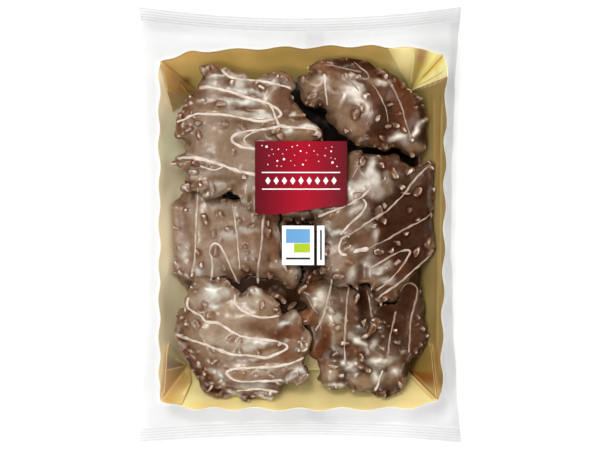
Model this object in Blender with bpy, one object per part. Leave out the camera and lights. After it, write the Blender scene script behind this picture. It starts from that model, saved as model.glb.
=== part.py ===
"""Sealed clear pack of chocolate-coated gingerbread, lying flat with its window side up.

The solid is the outer form of the sealed film: a tube of film that runs round a
shallow tray of cakes and is crimped flat at both ends. +Y runs along the tube,
+Z is up, and the origin is under the middle of the pack, on the surface it lies on.
"""

import math

import bmesh
import bpy
import numpy as np

for old in list(bpy.data.objects):
    bpy.data.objects.remove(old, do_unlink=True)

# ---- driving dimensions, in metres ---------------------------------------
PACK_LENGTH = 0.2404  # over the tips of the crimped ends
END_WIDTH = 0.1774  # of the film laid flat at a crimp
WAIST_WIDTH = 0.1666  # of the filled pack, half way along
FLARE_POWER = 2.0  # how the width grows from the waist to the ends

HEAD_BOW = 0.0063  # how far the middle of the +Y end lies behind its tips
FOOT_BOW = 0.0038  # the same at the -Y end
CRIMP_DEPTH = 0.0074  # of a crimped band, along the pack
CRIMP_RIDGES = 5  # pressed across each band
RIDGE_HEIGHT = 0.0002
CRIMP_THICK = 0.0010
CRIMP_Z = 0.0100  # height of the crimped bands above the floor

TRAY_LEFT, TRAY_RIGHT = -0.0772, 0.0800  # the tray's rim
TRAY_FOOT, TRAY_HEAD = -0.1008, 0.0972
RIM_Z = 0.0240
WALL_RUN = 0.0185  # how far a tray wall leans out from base to rim
SIDE_Z = 0.0165  # height at which the loose film stands out furthest

# The cakes that hold the film up: centre x, y, half sizes, turn and top height
CAKES = (
    (-0.0300, 0.0480, 0.0400, 0.0385, 0.0, 0.0325),
    (0.0350, 0.0640, 0.0345, 0.0265, -18.0, 0.0315),
    (-0.0375, -0.0085, 0.0360, 0.0260, 0.0, 0.0255),
    (0.0420, -0.0010, 0.0330, 0.0410, 12.0, 0.0330),
    (-0.0315, -0.0640, 0.0365, 0.0335, 0.0, 0.0320),
    (0.0345, -0.0640, 0.0350, 0.0290, 0.0, 0.0285),
)
CAKE_CROWN = 0.0055  # how much lower a cake's edge is than its top

# ---- how finely it is cut -------------------------------------------------
TOP_CUTS, SHOULDER_CUTS, FLANK_CUTS, BASE_CUTS = 13, 4, 5, 5  # on each half
BODY_CUTS = 26
SLOPE_CUTS = 9
CRIMP_CUTS = 2 * CRIMP_RIDGES
MEMBRANE_PITCH = 0.004
MEMBRANE_ROUNDS = 260


def smooth(a, b, t):
    """0 before a, 1 after b, with no kink at either."""
    t = min(max((t - a) / (b - a), 0.0), 1.0)
    return t * t * (3 - 2 * t)


def cake_height(x, y):
    """Height of the highest cake under each point, or 0 where there is none."""
    height = np.zeros_like(x)
    for cx, cy, half_x, half_y, turn, top in CAKES:
        a = math.radians(turn)
        u = ((x - cx) * math.cos(a) + (y - cy) * math.sin(a)) / half_x
        v = (-(x - cx) * math.sin(a) + (y - cy) * math.cos(a)) / half_y
        r = (np.abs(u) ** 2.6 + np.abs(v) ** 2.6) ** (1 / 2.6)
        cake = top - CAKE_CROWN * np.clip(r, 0, 1) ** 3
        height = np.maximum(height, np.where(r < 1, cake, 0.0))
    return height


def drawn_film():
    """The film over the tray as a skin held at the rim and pushed up by the cakes."""
    columns = int((TRAY_RIGHT - TRAY_LEFT) / MEMBRANE_PITCH) + 1
    rows = int((TRAY_HEAD - TRAY_FOOT) / MEMBRANE_PITCH) + 1
    xs = np.linspace(TRAY_LEFT, TRAY_RIGHT, columns)
    ys = np.linspace(TRAY_FOOT, TRAY_HEAD, rows)
    x, y = np.meshgrid(xs, ys)
    under = cake_height(x, y)
    z = np.maximum(under, RIM_Z)
    for _ in range(MEMBRANE_ROUNDS):
        inner = (z[:-2, 1:-1] + z[2:, 1:-1] + z[1:-1, :-2] + z[1:-1, 2:]) / 4
        z[1:-1, 1:-1] = np.maximum(inner, under[1:-1, 1:-1])
    return xs, ys, z


FILM_X, FILM_Y, FILM_Z = drawn_film()


def film_height(x, y):
    """Height of the drawn film at one point inside the rim."""
    i = (x - FILM_X[0]) / (FILM_X[-1] - FILM_X[0]) * (len(FILM_X) - 1)
    j = (y - FILM_Y[0]) / (FILM_Y[-1] - FILM_Y[0]) * (len(FILM_Y) - 1)
    i = min(max(i, 0.0), len(FILM_X) - 1.0)
    j = min(max(j, 0.0), len(FILM_Y) - 1.0)
    i0, j0 = min(int(i), len(FILM_X) - 2), min(int(j), len(FILM_Y) - 2)
    a, b = i - i0, j - j0
    near = FILM_Z[j0, i0] * (1 - a) + FILM_Z[j0, i0 + 1] * a
    far = FILM_Z[j0 + 1, i0] * (1 - a) + FILM_Z[j0 + 1, i0 + 1] * a
    return near * (1 - b) + far * b


def half_width(y):
    waist, end = WAIST_WIDTH / 2, END_WIDTH / 2
    return waist + (end - waist) * (abs(y) / (PACK_LENGTH / 2)) ** FLARE_POWER


def ring_steps():
    """One side's ring as (stretch, share of it), from top middle to bottom middle."""
    for stretch, cuts in enumerate((TOP_CUTS, SHOULDER_CUTS, FLANK_CUTS, BASE_CUTS)):
        for i in range(cuts):
            yield stretch, i / cuts
    yield 3, 1.0


def body_point(side, stretch, t, y):
    """x, z of the filled pack's ring. side is -1 or 1."""
    wide = half_width(y)
    rim = abs(TRAY_RIGHT if side > 0 else TRAY_LEFT)
    base = rim - WALL_RUN
    if stretch == 0:
        x = rim * math.sin(t * math.pi / 2) ** 0.9
        return x, film_height(side * x, y)
    if stretch == 1:
        a = t * math.pi / 2
        return rim + (wide - rim) * math.sin(a), SIDE_Z + (RIM_Z - SIDE_Z) * math.cos(a)
    if stretch == 2:
        x = wide + (base - wide) * (t * t * (1.9 - 0.9 * t))
        return x, SIDE_Z * (1 - t) ** 1.35
    return base * (1 - t), 0.0


def crimp_point(side, stretch, t, y):
    """x, z of the flat crimped ring, with as much film in each stretch."""
    wide, half = half_width(y), CRIMP_THICK / 2
    if stretch == 0:
        return 0.90 * wide * math.sin(t * math.pi / 2) ** 0.9, CRIMP_Z + half
    if stretch == 1:
        drop = (1 - t**4) ** 0.5
        return wide * (0.90 + 0.10 * t), CRIMP_Z + half * drop
    if stretch == 2:
        drop = (1 - (1 - t) ** 4) ** 0.5
        return wide * (1 - 0.30 * t), CRIMP_Z - half * drop
    return wide * 0.70 * (1 - t), CRIMP_Z - half


def stations():
    """Places along the pack, as distances of its straight middle line."""
    crimp_foot = -PACK_LENGTH / 2 + CRIMP_DEPTH
    crimp_head = PACK_LENGTH / 2 - CRIMP_DEPTH
    slope_foot = TRAY_FOOT + WALL_RUN
    slope_head = TRAY_HEAD - WALL_RUN
    out = [-PACK_LENGTH / 2 + CRIMP_DEPTH * i / CRIMP_CUTS for i in range(CRIMP_CUTS)]
    out += [
        crimp_foot + (slope_foot - crimp_foot) * i / SLOPE_CUTS
        for i in range(SLOPE_CUTS)
    ]
    out += [
        slope_foot + (slope_head - slope_foot) * i / BODY_CUTS for i in range(BODY_CUTS)
    ]
    out += [
        slope_head + (crimp_head - slope_head) * i / SLOPE_CUTS
        for i in range(SLOPE_CUTS)
    ]
    out += [crimp_head + CRIMP_DEPTH * i / CRIMP_CUTS for i in range(CRIMP_CUTS + 1)]
    return out


def ring_at(y):
    """The ring of points at one station, right side down and left side up again."""
    foot_crimp = -PACK_LENGTH / 2 + CRIMP_DEPTH
    head_crimp = PACK_LENGTH / 2 - CRIMP_DEPTH
    over = smooth(foot_crimp + 0.0035, TRAY_FOOT - 0.0006, y) * (
        1 - smooth(TRAY_HEAD + 0.0006, head_crimp - 0.0035, y)
    )
    under = smooth(foot_crimp, TRAY_FOOT + WALL_RUN, y) * (
        1 - smooth(TRAY_HEAD - WALL_RUN, head_crimp, y)
    )
    bow = HEAD_BOW * smooth(0.070, 0.108, y) - FOOT_BOW * smooth(0.070, 0.110, -y)
    from_tip = (PACK_LENGTH / 2 - abs(y)) / CRIMP_DEPTH
    wave = 0.0
    if from_tip < 1 + 1e-6:
        wave = RIDGE_HEIGHT * math.cos(math.pi * from_tip * 2 * CRIMP_RIDGES)
    points = []
    for side in (1, -1):
        row = []
        for stretch, t in ring_steps():
            share = {0: over, 1: over + (under - over) * t * 0.5}.get(
                stretch, over * 0.5 + under * 0.5 if stretch == 2 else under
            )
            if stretch == 2:
                share += (under - share) * t
            bx, bz = body_point(side, stretch, t, y)
            cx, cz = crimp_point(side, stretch, t, y)
            x, z = cx + (bx - cx) * share, cz + (bz - cz) * share
            u = min(x / half_width(y), 1.0)
            row.append((side * x, y + bow * (u * u - 1), z + wave))
        points.append(row)
    right, left = points
    return right + left[-2:0:-1]


def zip_end(bm, top, bottom, outward):
    """Triangles between two rows of points that share both their ends."""
    i = j = 0
    while i < len(top) - 1 or j < len(bottom) - 1:
        up = i < len(top) - 1 and (
            j == len(bottom) - 1 or top[i + 1].co.x <= bottom[j + 1].co.x
        )
        if up:
            corners = [top[i], top[i + 1], bottom[j]]
            i += 1
        else:
            corners = [top[i], bottom[j + 1], bottom[j]]
            j += 1
        if len({v.index for v in corners}) == 3:
            bm.faces.new(corners if outward else corners[::-1])


def make_pack():
    bm = bmesh.new()
    rings = [[bm.verts.new(p) for p in ring_at(y)] for y in stations()]
    bm.verts.index_update()
    count = len(rings[0])
    for near, far in zip(rings, rings[1:]):
        for k in range(count):
            m = (k + 1) % count
            bm.faces.new((near[k], near[m], far[m], far[k]))
    edge = TOP_CUTS + SHOULDER_CUTS
    for ring, outward in ((rings[0], False), (rings[-1], True)):
        top = [ring[-k] for k in range(edge, 0, -1)] + ring[: edge + 1]
        bottom = ring[edge : count - edge + 1][::-1]
        zip_end(bm, top, bottom, outward)
    bmesh.ops.recalc_face_normals(bm, faces=bm.faces)
    mesh = bpy.data.meshes.new("pack")
    bm.to_mesh(mesh)
    bm.free()
    mesh.shade_smooth()
    mesh.set_sharp_from_angle(angle=math.radians(40))
    pack = bpy.data.objects.new("pack", mesh)
    bpy.context.scene.collection.objects.link(pack)
    return pack


def make_material(name, color, roughness, metallic=0.0):
    material = bpy.data.materials.new(name)
    material.use_nodes = True
    surface = material.node_tree.nodes["Principled BSDF"]
    surface.inputs["Base Color"].default_value = (*color, 1.0)
    surface.inputs["Roughness"].default_value = roughness
    surface.inputs["Metallic"].default_value = metallic
    return material


pack = make_pack()
pack.data.materials.append(make_material("sealed pack", (0.42, 0.30, 0.21), 0.25))
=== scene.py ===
"""Looks of the sealed gingerbread pack: film, gold tray, cakes, drizzle and label."""

import math

import bmesh
import bpy
import numpy as np
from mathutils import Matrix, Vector
from mathutils.bvhtree import BVHTree


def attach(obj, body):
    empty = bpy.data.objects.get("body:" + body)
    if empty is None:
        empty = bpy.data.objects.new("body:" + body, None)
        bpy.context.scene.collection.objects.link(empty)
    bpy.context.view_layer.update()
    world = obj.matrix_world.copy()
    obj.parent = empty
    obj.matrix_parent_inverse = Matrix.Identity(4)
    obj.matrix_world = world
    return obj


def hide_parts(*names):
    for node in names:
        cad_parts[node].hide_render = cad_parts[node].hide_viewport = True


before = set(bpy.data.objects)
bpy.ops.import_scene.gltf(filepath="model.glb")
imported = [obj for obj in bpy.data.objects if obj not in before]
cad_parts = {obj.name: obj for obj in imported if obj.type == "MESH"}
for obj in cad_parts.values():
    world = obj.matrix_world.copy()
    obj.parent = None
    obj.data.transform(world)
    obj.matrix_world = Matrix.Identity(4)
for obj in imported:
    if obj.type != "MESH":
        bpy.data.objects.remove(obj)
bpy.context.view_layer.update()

MM = 0.001
SCALE = 0.55  # millimetres on the pack for each unit of the layout drawing
CELL = 0.62  # of the cakes' volume, in millimetres

# ---------------------------------------------------------------------------
# Layout: 600 x 450 drawing units, x to the right and y down, seen from above
# ---------------------------------------------------------------------------


def at(x, y):
    """A layout point in the row frame, in millimetres."""
    return (x - 300.25) * SCALE, (224.5 - y) * SCALE


def path(points):
    return np.array([at(x, y) for x, y in points], float)


def smoothstep(a, b, t):
    t = np.clip((t - a) / (b - a), 0, 1)
    return t * t * (3 - 2 * t)


def rounded(points, closed=True, cuts=4):
    """A smooth line through the points (centripetal enough for drawn outlines)."""
    p = np.asarray(points, float)
    n = len(p)
    out = []
    spans = n if closed else n - 1
    for i in range(spans):
        if closed:
            a, b, c, d = p[(i - 1) % n], p[i], p[(i + 1) % n], p[(i + 2) % n]
        else:
            a, b, c, d = p[max(i - 1, 0)], p[i], p[i + 1], p[min(i + 2, n - 1)]
        for k in range(cuts):
            t = k / cuts
            out.append(
                0.5
                * (
                    2 * b
                    + (c - a) * t
                    + (2 * a - 5 * b + 4 * c - d) * t * t
                    + (3 * b - a - 3 * c + d) * t**3
                )
            )
    if not closed:
        out.append(p[-1])
    return np.array(out)


# ---------------------------------------------------------------------------
# Numbers on grids
# ---------------------------------------------------------------------------


def spline_rows(coords, scale, shift):
    """Weights that read a random lattice smoothly at these coordinates."""
    t = np.asarray(coords, float) / scale + shift
    i = np.floor(t).astype(int)
    f = t - i
    low = i.min()
    m = np.zeros((len(t), i.max() - low + 4))
    rows = np.arange(len(t))
    for k, w in enumerate(
        (
            (1 - f) ** 3,
            3 * f**3 - 6 * f**2 + 4,
            -3 * f**3 + 3 * f**2 + 3 * f + 1,
            f**3,
        )
    ):
        m[rows, i - low + k] = w / 6
    return m


def noise_field(axes, scale, seed, flat=1.0):
    """Smooth noise of unit spread on the grid of these axes. flat stretches it along z."""
    rng = np.random.RandomState(seed)
    scales = [scale] * len(axes)
    if len(axes) == 3:
        scales[2] = scale * flat
    mats = [spline_rows(a, s, rng.rand() * 7) for a, s in zip(axes, scales)]
    field = rng.uniform(-1, 1, [m.shape[1] for m in mats])
    for k, m in enumerate(mats):
        field = np.moveaxis(np.tensordot(m, field, axes=(1, k)), 0, k)
    return field / max(field.std(), 1e-9)


def inside_distance(x, y, outline):
    """How far inside the outline each point is, negative outside."""
    a, b = outline, np.roll(outline, -1, 0)
    best = np.full(x.shape, 1e9)
    odd = np.zeros(x.shape, bool)
    for (ax, ay), (bx, by) in zip(a, b):
        ex, ey = bx - ax, by - ay
        length = ex * ex + ey * ey
        if length < 1e-9:
            continue
        t = np.clip(((x - ax) * ex + (y - ay) * ey) / length, 0, 1)
        best = np.minimum(best, (x - ax - t * ex) ** 2 + (y - ay - t * ey) ** 2)
        if ay != by:
            crosses = (ay > y) != (by > y)
            odd ^= crosses & (x < ax + (y - ay) / (by - ay) * ex)
    return np.where(odd, 1, -1) * np.sqrt(best)


def beside_line(x, y, line):
    """Signed distance to an open line: positive on its left."""
    best = np.full(x.shape, 1e9)
    sign = np.ones(x.shape)
    for (ax, ay), (bx, by) in zip(line[:-1], line[1:]):
        ex, ey = bx - ax, by - ay
        length = ex * ex + ey * ey
        t = np.clip(((x - ax) * ex + (y - ay) * ey) / length, 0, 1)
        d = (x - ax - t * ex) ** 2 + (y - ay - t * ey) ** 2
        side = np.where(ex * (y - ay) - ey * (x - ax) >= 0, 1.0, -1.0)
        nearer = d < best
        best = np.where(nearer, d, best)
        sign = np.where(nearer, side, sign)
    return sign * np.sqrt(best)


def smax(a, b, k):
    h = np.clip(k - np.abs(a - b), 0, None) / k
    return np.maximum(a, b) + h * h * k / 4


def smin(a, b, k):
    h = np.clip(k - np.abs(a - b), 0, None) / k
    return np.minimum(a, b) - h * h * k / 4


CORNERS = [(i, j, k) for i in (0, 1) for j in (0, 1) for k in (0, 1)]
EDGES = [
    (a, b)
    for n, a in enumerate(CORNERS)
    for b in CORNERS[n + 1 :]
    if sum(abs(p - q) for p, q in zip(a, b)) == 1
]


def surface_of(f, low, cell):
    """The zero surface of a volume as points and quads, facing where f is positive."""
    solid = f < 0
    nx, ny, nz = (n - 1 for n in f.shape)
    held = np.zeros((nx, ny, nz), np.int8)
    for i, j, k in CORNERS:
        held += solid[i : nx + i, j : ny + j, k : nz + k]
    active = (held > 0) & (held < 8)
    index = np.full((nx, ny, nz), -1, np.int64)
    cells = np.argwhere(active)
    index[active] = np.arange(len(cells))
    total = np.zeros((len(cells), 3))
    count = np.zeros(len(cells))
    for a, b in EDGES:
        fa = f[cells[:, 0] + a[0], cells[:, 1] + a[1], cells[:, 2] + a[2]]
        fb = f[cells[:, 0] + b[0], cells[:, 1] + b[1], cells[:, 2] + b[2]]
        cross = (fa < 0) != (fb < 0)
        t = np.where(cross, fa / np.where(cross, fa - fb, 1), 0)
        total += cross[:, None] * (
            np.array(a) + t[:, None] * (np.array(b) - np.array(a))
        )
        count += cross
    points = np.array(low) + cell * (cells + total / count[:, None])
    quads = []
    for axis in range(3):
        u, v = (axis + 1) % 3, (axis + 2) % 3
        near = solid
        far = np.roll(solid, -1, axis)
        change = near != far
        take = [slice(None)] * 3
        take[axis] = slice(0, f.shape[axis] - 1)
        take[u] = slice(1, f.shape[u] - 1)
        take[v] = slice(1, f.shape[v] - 1)
        edge = np.argwhere(change[tuple(take)])
        edge[:, u] += 1
        edge[:, v] += 1
        du, dv = np.zeros(3, int), np.zeros(3, int)
        du[u], dv[v] = 1, 1
        four = [edge - du - dv, edge - dv, edge, edge - du]
        quad = np.stack([index[c[:, 0], c[:, 1], c[:, 2]] for c in four], 1)
        out = near[edge[:, 0], edge[:, 1], edge[:, 2]]
        quads.append(np.where(out[:, None], quad, quad[:, ::-1]))
    return points, np.concatenate(quads), cells


def hollows(points, quads):
    """How far each point lies below its surroundings (0 to 1), and how sharp a crest it is."""
    cross = np.cross(
        points[quads[:, 2]] - points[quads[:, 0]], points[quads[:, 3]] - points[quads[:, 1]]
    )
    normal = np.zeros(points.shape)
    for k in range(4):
        for axis in range(3):
            normal[:, axis] += np.bincount(quads[:, k], cross[:, axis], len(points))
    normal /= np.linalg.norm(normal, axis=1)[:, None] + 1e-12
    near = smoothed(points, quads, 5, back=False)
    wide = smoothed(near, quads, 26, back=False)
    close = ((near - points) * normal).sum(1)
    depth = close / 0.42 + ((wide - points) * normal).sum(1) / 1.25
    return np.clip(0.5 + depth, 0, 1), np.clip(-close / 0.5, 0, 1)


def smoothed(points, quads, rounds, share=0.5, back=True):
    """Points moved towards the mean of their neighbours, and back a little."""
    ends = np.concatenate([quads[:, [k, (k + 1) % 4]] for k in range(4)])
    ends = np.concatenate([ends, ends[:, ::-1]])
    count = np.bincount(ends[:, 0], minlength=len(points))[:, None]
    for n in range(rounds):
        total = np.stack(
            [
                np.bincount(ends[:, 0], points[ends[:, 1], k], len(points))
                for k in range(3)
            ],
            1,
        )
        step = -share * 0.92 if back and n % 2 else share
        points = points + step * (total / np.maximum(count, 1) - points)
    return points


# ---------------------------------------------------------------------------
# Blender objects
# ---------------------------------------------------------------------------


def mesh_object(name, points, faces, material, smooth=True):
    """Points are in millimetres in the row frame."""
    mesh = bpy.data.meshes.new(name)
    mesh.from_pydata(
        (np.asarray(points) * MM).tolist(), [], [list(map(int, f)) for f in faces]
    )
    mesh.update()
    if smooth:
        mesh.shade_smooth()
    obj = bpy.data.objects.new(name, mesh)
    bpy.context.scene.collection.objects.link(obj)
    mesh.materials.append(material)
    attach(obj, "root")
    return obj


def set_attribute(obj, name, values):
    layer = obj.data.attributes.new(name, "FLOAT", "POINT")
    layer.data.foreach_set("value", np.asarray(values, np.float32))


def set_tone(obj, rgba):
    """Colours, with the share of metal as their fourth value."""
    layer = obj.data.attributes.new("tone", "FLOAT_COLOR", "POINT")
    layer.data.foreach_set("color", np.clip(rgba, 0, 1).astype(np.float32).ravel())


class Tree:
    """A short way to write node trees."""

    def __init__(self, name):
        self.material = bpy.data.materials.new(name)
        self.material.use_nodes = True
        self.nodes = self.material.node_tree.nodes
        self.links = self.material.node_tree.links
        self.nodes.clear()
        self.out = self.nodes.new("ShaderNodeOutputMaterial")

    def node(self, kind, **inputs):
        made = self.nodes.new("ShaderNode" + kind)
        for key, value in inputs.items():
            key = key.replace("_", " ")
            if hasattr(made, key.replace(" ", "_")) and key not in made.inputs:
                setattr(made, key.replace(" ", "_"), value)
                continue
            self.feed(made.inputs[key], value)
        return made

    def feed(self, socket, value):
        if isinstance(value, bpy.types.NodeSocket):
            self.links.new(value, socket)
        elif isinstance(value, bpy.types.Node):
            self.links.new(value.outputs[0], socket)
        else:
            if socket.type == "RGBA" and len(value) == 3:
                value = (*value, 1)
            socket.default_value = value

    def math(self, operation, a, b=0.5, c=None, clamp=False):
        made = self.nodes.new("ShaderNodeMath")
        made.operation, made.use_clamp = operation, clamp
        for i, value in enumerate((a, b, c)):
            if value is not None:
                self.feed(made.inputs[i], value)
        return made.outputs[0]

    def mix(self, factor, a, b, blend="MIX"):
        made = self.nodes.new("ShaderNodeMix")
        made.data_type, made.blend_type = "RGBA", blend
        self.feed(made.inputs[0], factor)
        self.feed(made.inputs[6], a)
        self.feed(made.inputs[7], b)
        return made.outputs[2]

    def ramp(self, factor, *stops):
        made = self.nodes.new("ShaderNodeValToRGB")
        self.feed(made.inputs[0], factor)
        ramp = made.color_ramp
        while len(ramp.elements) < len(stops):
            ramp.elements.new(0.5)
        for element, (place, color) in zip(ramp.elements, stops):
            element.position = place
            if not hasattr(color, "__len__"):
                color = (color,) * 3
            element.color = (*color, 1)
        return made.outputs[0]

    def spread(self, factor, a, b, low=0.0, high=1.0):
        made = self.nodes.new("ShaderNodeMapRange")
        for i, value in enumerate((factor, a, b, low, high)):
            self.feed(made.inputs[i], value)
        return made.outputs[0]

    def place(self, scale=(1, 1, 1)):
        coords = self.nodes.new("ShaderNodeTexCoord")
        mapping = self.nodes.new("ShaderNodeMapping")
        self.links.new(coords.outputs["Object"], mapping.inputs[0])
        mapping.inputs["Scale"].default_value = scale
        return mapping.outputs[0]

    def attribute(self, name):
        made = self.nodes.new("ShaderNodeAttribute")
        made.attribute_name = name
        return made.outputs["Fac"]

    def noise(self, where, scale, detail=3, roughness=0.5):
        made = self.nodes.new("ShaderNodeTexNoise")
        self.links.new(where, made.inputs["Vector"])
        made.inputs["Scale"].default_value = scale
        made.inputs["Detail"].default_value = detail
        made.inputs["Roughness"].default_value = roughness
        return made.outputs[0]

    def bump(self, height, strength, distance, normal=None):
        made = self.nodes.new("ShaderNodeBump")
        made.inputs["Strength"].default_value = strength
        made.inputs["Distance"].default_value = distance
        self.feed(made.inputs["Height"], height)
        if normal is not None:
            self.feed(made.inputs["Normal"], normal)
        return made.outputs[0]

    def surface(self, shader):
        self.feed(self.out.inputs[0], shader)
        return self.material


def chocolate(name="milk chocolate coat", shade=1.0, gloss=1.0):
    t = Tree(name)
    where = t.place()
    nut = t.attribute("nut")
    rim = t.attribute("rim")
    thin = t.attribute("thin")
    broad = t.noise(where, 55, 3, 0.55)
    fine = t.noise(where, 420, 3, 0.6)
    base = t.ramp(
        broad,
        (0.30, [v * shade for v in (0.082, 0.037, 0.017)]),
        (0.52, [v * shade for v in (0.118, 0.057, 0.028)]),
        (0.72, [v * shade for v in (0.150, 0.079, 0.042)]),
    )
    base = t.mix(t.spread(fine, 0.35, 0.75, 0.0, 0.22), base, [v * shade for v in (0.19, 0.105, 0.060)])
    base = t.mix(thin, base, [v * shade for v in (0.15, 0.056, 0.022)])
    # painted shade: a dark ring round the foot of each nut, from the rim attribute
    base = t.mix(t.math("MULTIPLY", rim, 0.30), base, [v * shade for v in (0.050, 0.017, 0.008)])
    hollow = t.attribute("hollow")
    # the skin attribute lays painted highlights, sheen and shade on the coat, with some of its own tones
    skin = t.nodes.new("ShaderNodeAttribute")
    skin.attribute_name = "skin"
    base = t.mix(skin.outputs["Alpha"], base, skin.outputs["Color"])
    base = t.mix(1.0, base, t.ramp(fine, (0.3, 0.84), (0.7, 1.16)), "MULTIPLY")
    bare = t.ramp(
        t.noise(where, 700, 2, 0.5),
        (0.32, (0.52, 0.36, 0.26)),
        (0.62, (0.92, 0.80, 0.69)),
    )
    crest = t.attribute("crest")
    # painted light on the nuts: pale on their crests and painted shade on their sides; bare nuts show their own colour
    # only on the crests
    coated_nut_painted_light = t.mix(0.5, base, t.ramp(crest, (0.04, (0.070, 0.026, 0.011)), (0.22, (0.17, 0.084, 0.044)), (0.40, (0.36, 0.23, 0.150)), (0.58, (0.72, 0.54, 0.40))))
    bare_nut_painted_light = t.mix(t.spread(crest, 0.22, 0.44), (0.15, 0.062, 0.030), bare)
    over_nut = t.mix(t.attribute("bare"), coated_nut_painted_light, bare_nut_painted_light)
    # painted highlight: pale glints on the sharp crests of the coat
    base = t.mix(t.spread(crest, 0.24, 0.55, 0.0, 0.6), base, (0.50, 0.40, 0.32))
    base = t.mix(nut, base, over_nut)
    # painted shade in the hollows and a painted highlight on the parts that stand up
    base = t.mix(1.0, base, t.ramp(hollow, (0.15, 1.16), (0.5, (0.99, 0.96, 0.93)), (0.92, (0.62, 0.47, 0.38))), "MULTIPLY")
    rough = t.spread(t.noise(where, 160, 2), 0.3, 0.7, 0.17, 0.27)
    height = t.math("ADD", t.math("MULTIPLY", fine, 0.35), t.noise(where, 150, 2, 0.5))
    height = t.math("ADD", height, t.math("MULTIPLY", t.noise(where, 1100, 2, 0.5), 0.12))
    normal = t.bump(height, 0.22, 0.0006)
    shader = t.node(
        "BsdfPrincipled",
        Base_Color=base,
        Roughness=rough,
        Normal=normal,
    )
    shader.inputs["IOR"].default_value = 1.5
    # gloss is cut where the painted shade lies
    dull = t.spread(t.attribute("dull"), 0.0, 0.75, 1.0, 0.03)
    shine = t.math("MULTIPLY", t.spread(hollow, 0.45, 0.95, 0.32 * gloss, 0.16 * gloss), dull)
    t.feed(shader.inputs["Specular IOR Level"], shine)
    shader.inputs["Specular Tint"].default_value = (1.0, 0.90, 0.76, 1)
    t.feed(shader.inputs["Coat Weight"], t.math("MULTIPLY", dull, 0.22 * gloss))
    shader.inputs["Coat Roughness"].default_value = 0.10
    return t.surface(shader)


def pale_chocolate():
    t = Tree("pale drizzle")
    where = t.place()
    base = t.ramp(
        t.noise(where, 260, 3),
        (0.3, (0.56, 0.44, 0.35)),
        (0.7, (0.75, 0.64, 0.54)),
    )
    # painted shade: the dull attribute darkens the drizzle where it lies in shade
    base = t.mix(t.attribute("dull"), base, (0.27, 0.165, 0.105))
    shader = t.node(
        "BsdfPrincipled",
        Base_Color=base,
        Roughness=t.spread(t.noise(where, 300, 2), 0.3, 0.7, 0.32, 0.46),
        Normal=t.bump(t.noise(where, 700, 3), 0.25, 0.0002),
    )
    shader.inputs["Coat Weight"].default_value = 0.2
    shader.inputs["Coat Roughness"].default_value = 0.25
    return t.surface(shader)


def gold_card():
    t = Tree("gold card")
    where = t.place()
    tone = t.nodes.new("ShaderNodeAttribute")
    tone.attribute_name = "tone"
    broad = t.noise(where, 26, 3, 0.55)
    shift = t.ramp(broad, (0.3, (0.86, 0.84, 0.78)), (0.5, (0.96, 0.95, 0.92)), (0.7, (1.0, 1.0, 1.0)))
    base = t.mix(1.0, tone.outputs["Color"], shift, "MULTIPLY")
    fine = t.noise(where, 1800, 2, 0.5)
    shader = t.node(
        "BsdfPrincipled",
        Base_Color=base,
        Roughness=t.spread(t.noise(where, 60, 2), 0.3, 0.7, 0.30, 0.42),
        Normal=t.bump(
            t.math("ADD", fine, t.math("MULTIPLY", t.noise(where, 60, 2), 5.0)), 0.2, 0.0002
        ),
    )
    dim = t.spread(tone.outputs["Alpha"], 0.0, 0.5, 0.0, 0.10)
    bright = t.spread(tone.outputs["Alpha"], 0.5, 1.0, 0.0, 0.55)
    t.feed(shader.inputs["Metallic"], t.math("ADD", dim, bright))
    t.feed(shader.inputs["Coat Weight"], t.spread(tone.outputs["Alpha"], 0.0, 0.5, 0.0, 0.6))
    shader.inputs["Coat Roughness"].default_value = 0.25
    return t.surface(shader)


def clear_film():
    t = Tree("clear film")
    where = t.place()
    clear = t.node("BsdfTransparent")
    ridge = t.attribute("ridge")
    # painted shade: the ridge attribute greys what shows through the film
    t.feed(clear.inputs[0], t.mix(ridge, (0.990, 0.990, 0.991), (0.80, 0.80, 0.80)))
    normal = t.bump(t.noise(where, 90, 3), 0.25, 0.0004)
    gloss = t.node("BsdfGlossy", Normal=normal)
    gloss.inputs["Color"].default_value = (1, 1, 1, 1)
    gloss.inputs["Roughness"].default_value = 0.10
    facing = t.nodes.new("ShaderNodeLayerWeight")
    facing.inputs["Blend"].default_value = 0.5
    steep = t.math("POWER", facing.outputs["Facing"], 3.6)
    share = t.math("ADD", t.math("MULTIPLY", steep, 0.32), 0.0008)
    mixed = t.nodes.new("ShaderNodeMixShader")
    t.feed(mixed.inputs[0], share)
    t.links.new(clear.outputs[0], mixed.inputs[1])
    t.links.new(gloss.outputs[0], mixed.inputs[2])
    # the pressed ends are a little milky
    milk = t.node("BsdfPrincipled", Normal=normal)
    milk.inputs["Base Color"].default_value = (0.93, 0.93, 0.93, 1)
    milk.inputs["Roughness"].default_value = 0.3
    sealed = t.nodes.new("ShaderNodeMixShader")
    t.feed(sealed.inputs[0], t.math("MULTIPLY", t.attribute("seal"), 0.12))
    t.links.new(mixed.outputs[0], sealed.inputs[1])
    t.links.new(milk.outputs[0], sealed.inputs[2])
    return t.surface(sealed.outputs[0])


CHOCOLATE = chocolate(shade=1.15)
# a darker copy of the coat for the three right-hand cakes: painted shade, as they are turned from the light
DEEP_SHADE = chocolate("chocolate coat in painted shade", 0.58)
DARK = chocolate("shaded chocolate", 0.05, 0.05)
# a darker copy of the coat for the lower piece between the cakes: painted shade, as it lies deep among them
DIM = chocolate("dim chocolate", 0.33, 0.4)
PALE = pale_chocolate()
GOLD = gold_card()
FILM = clear_film()


# ---------------------------------------------------------------------------
# Cakes
# ---------------------------------------------------------------------------

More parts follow.
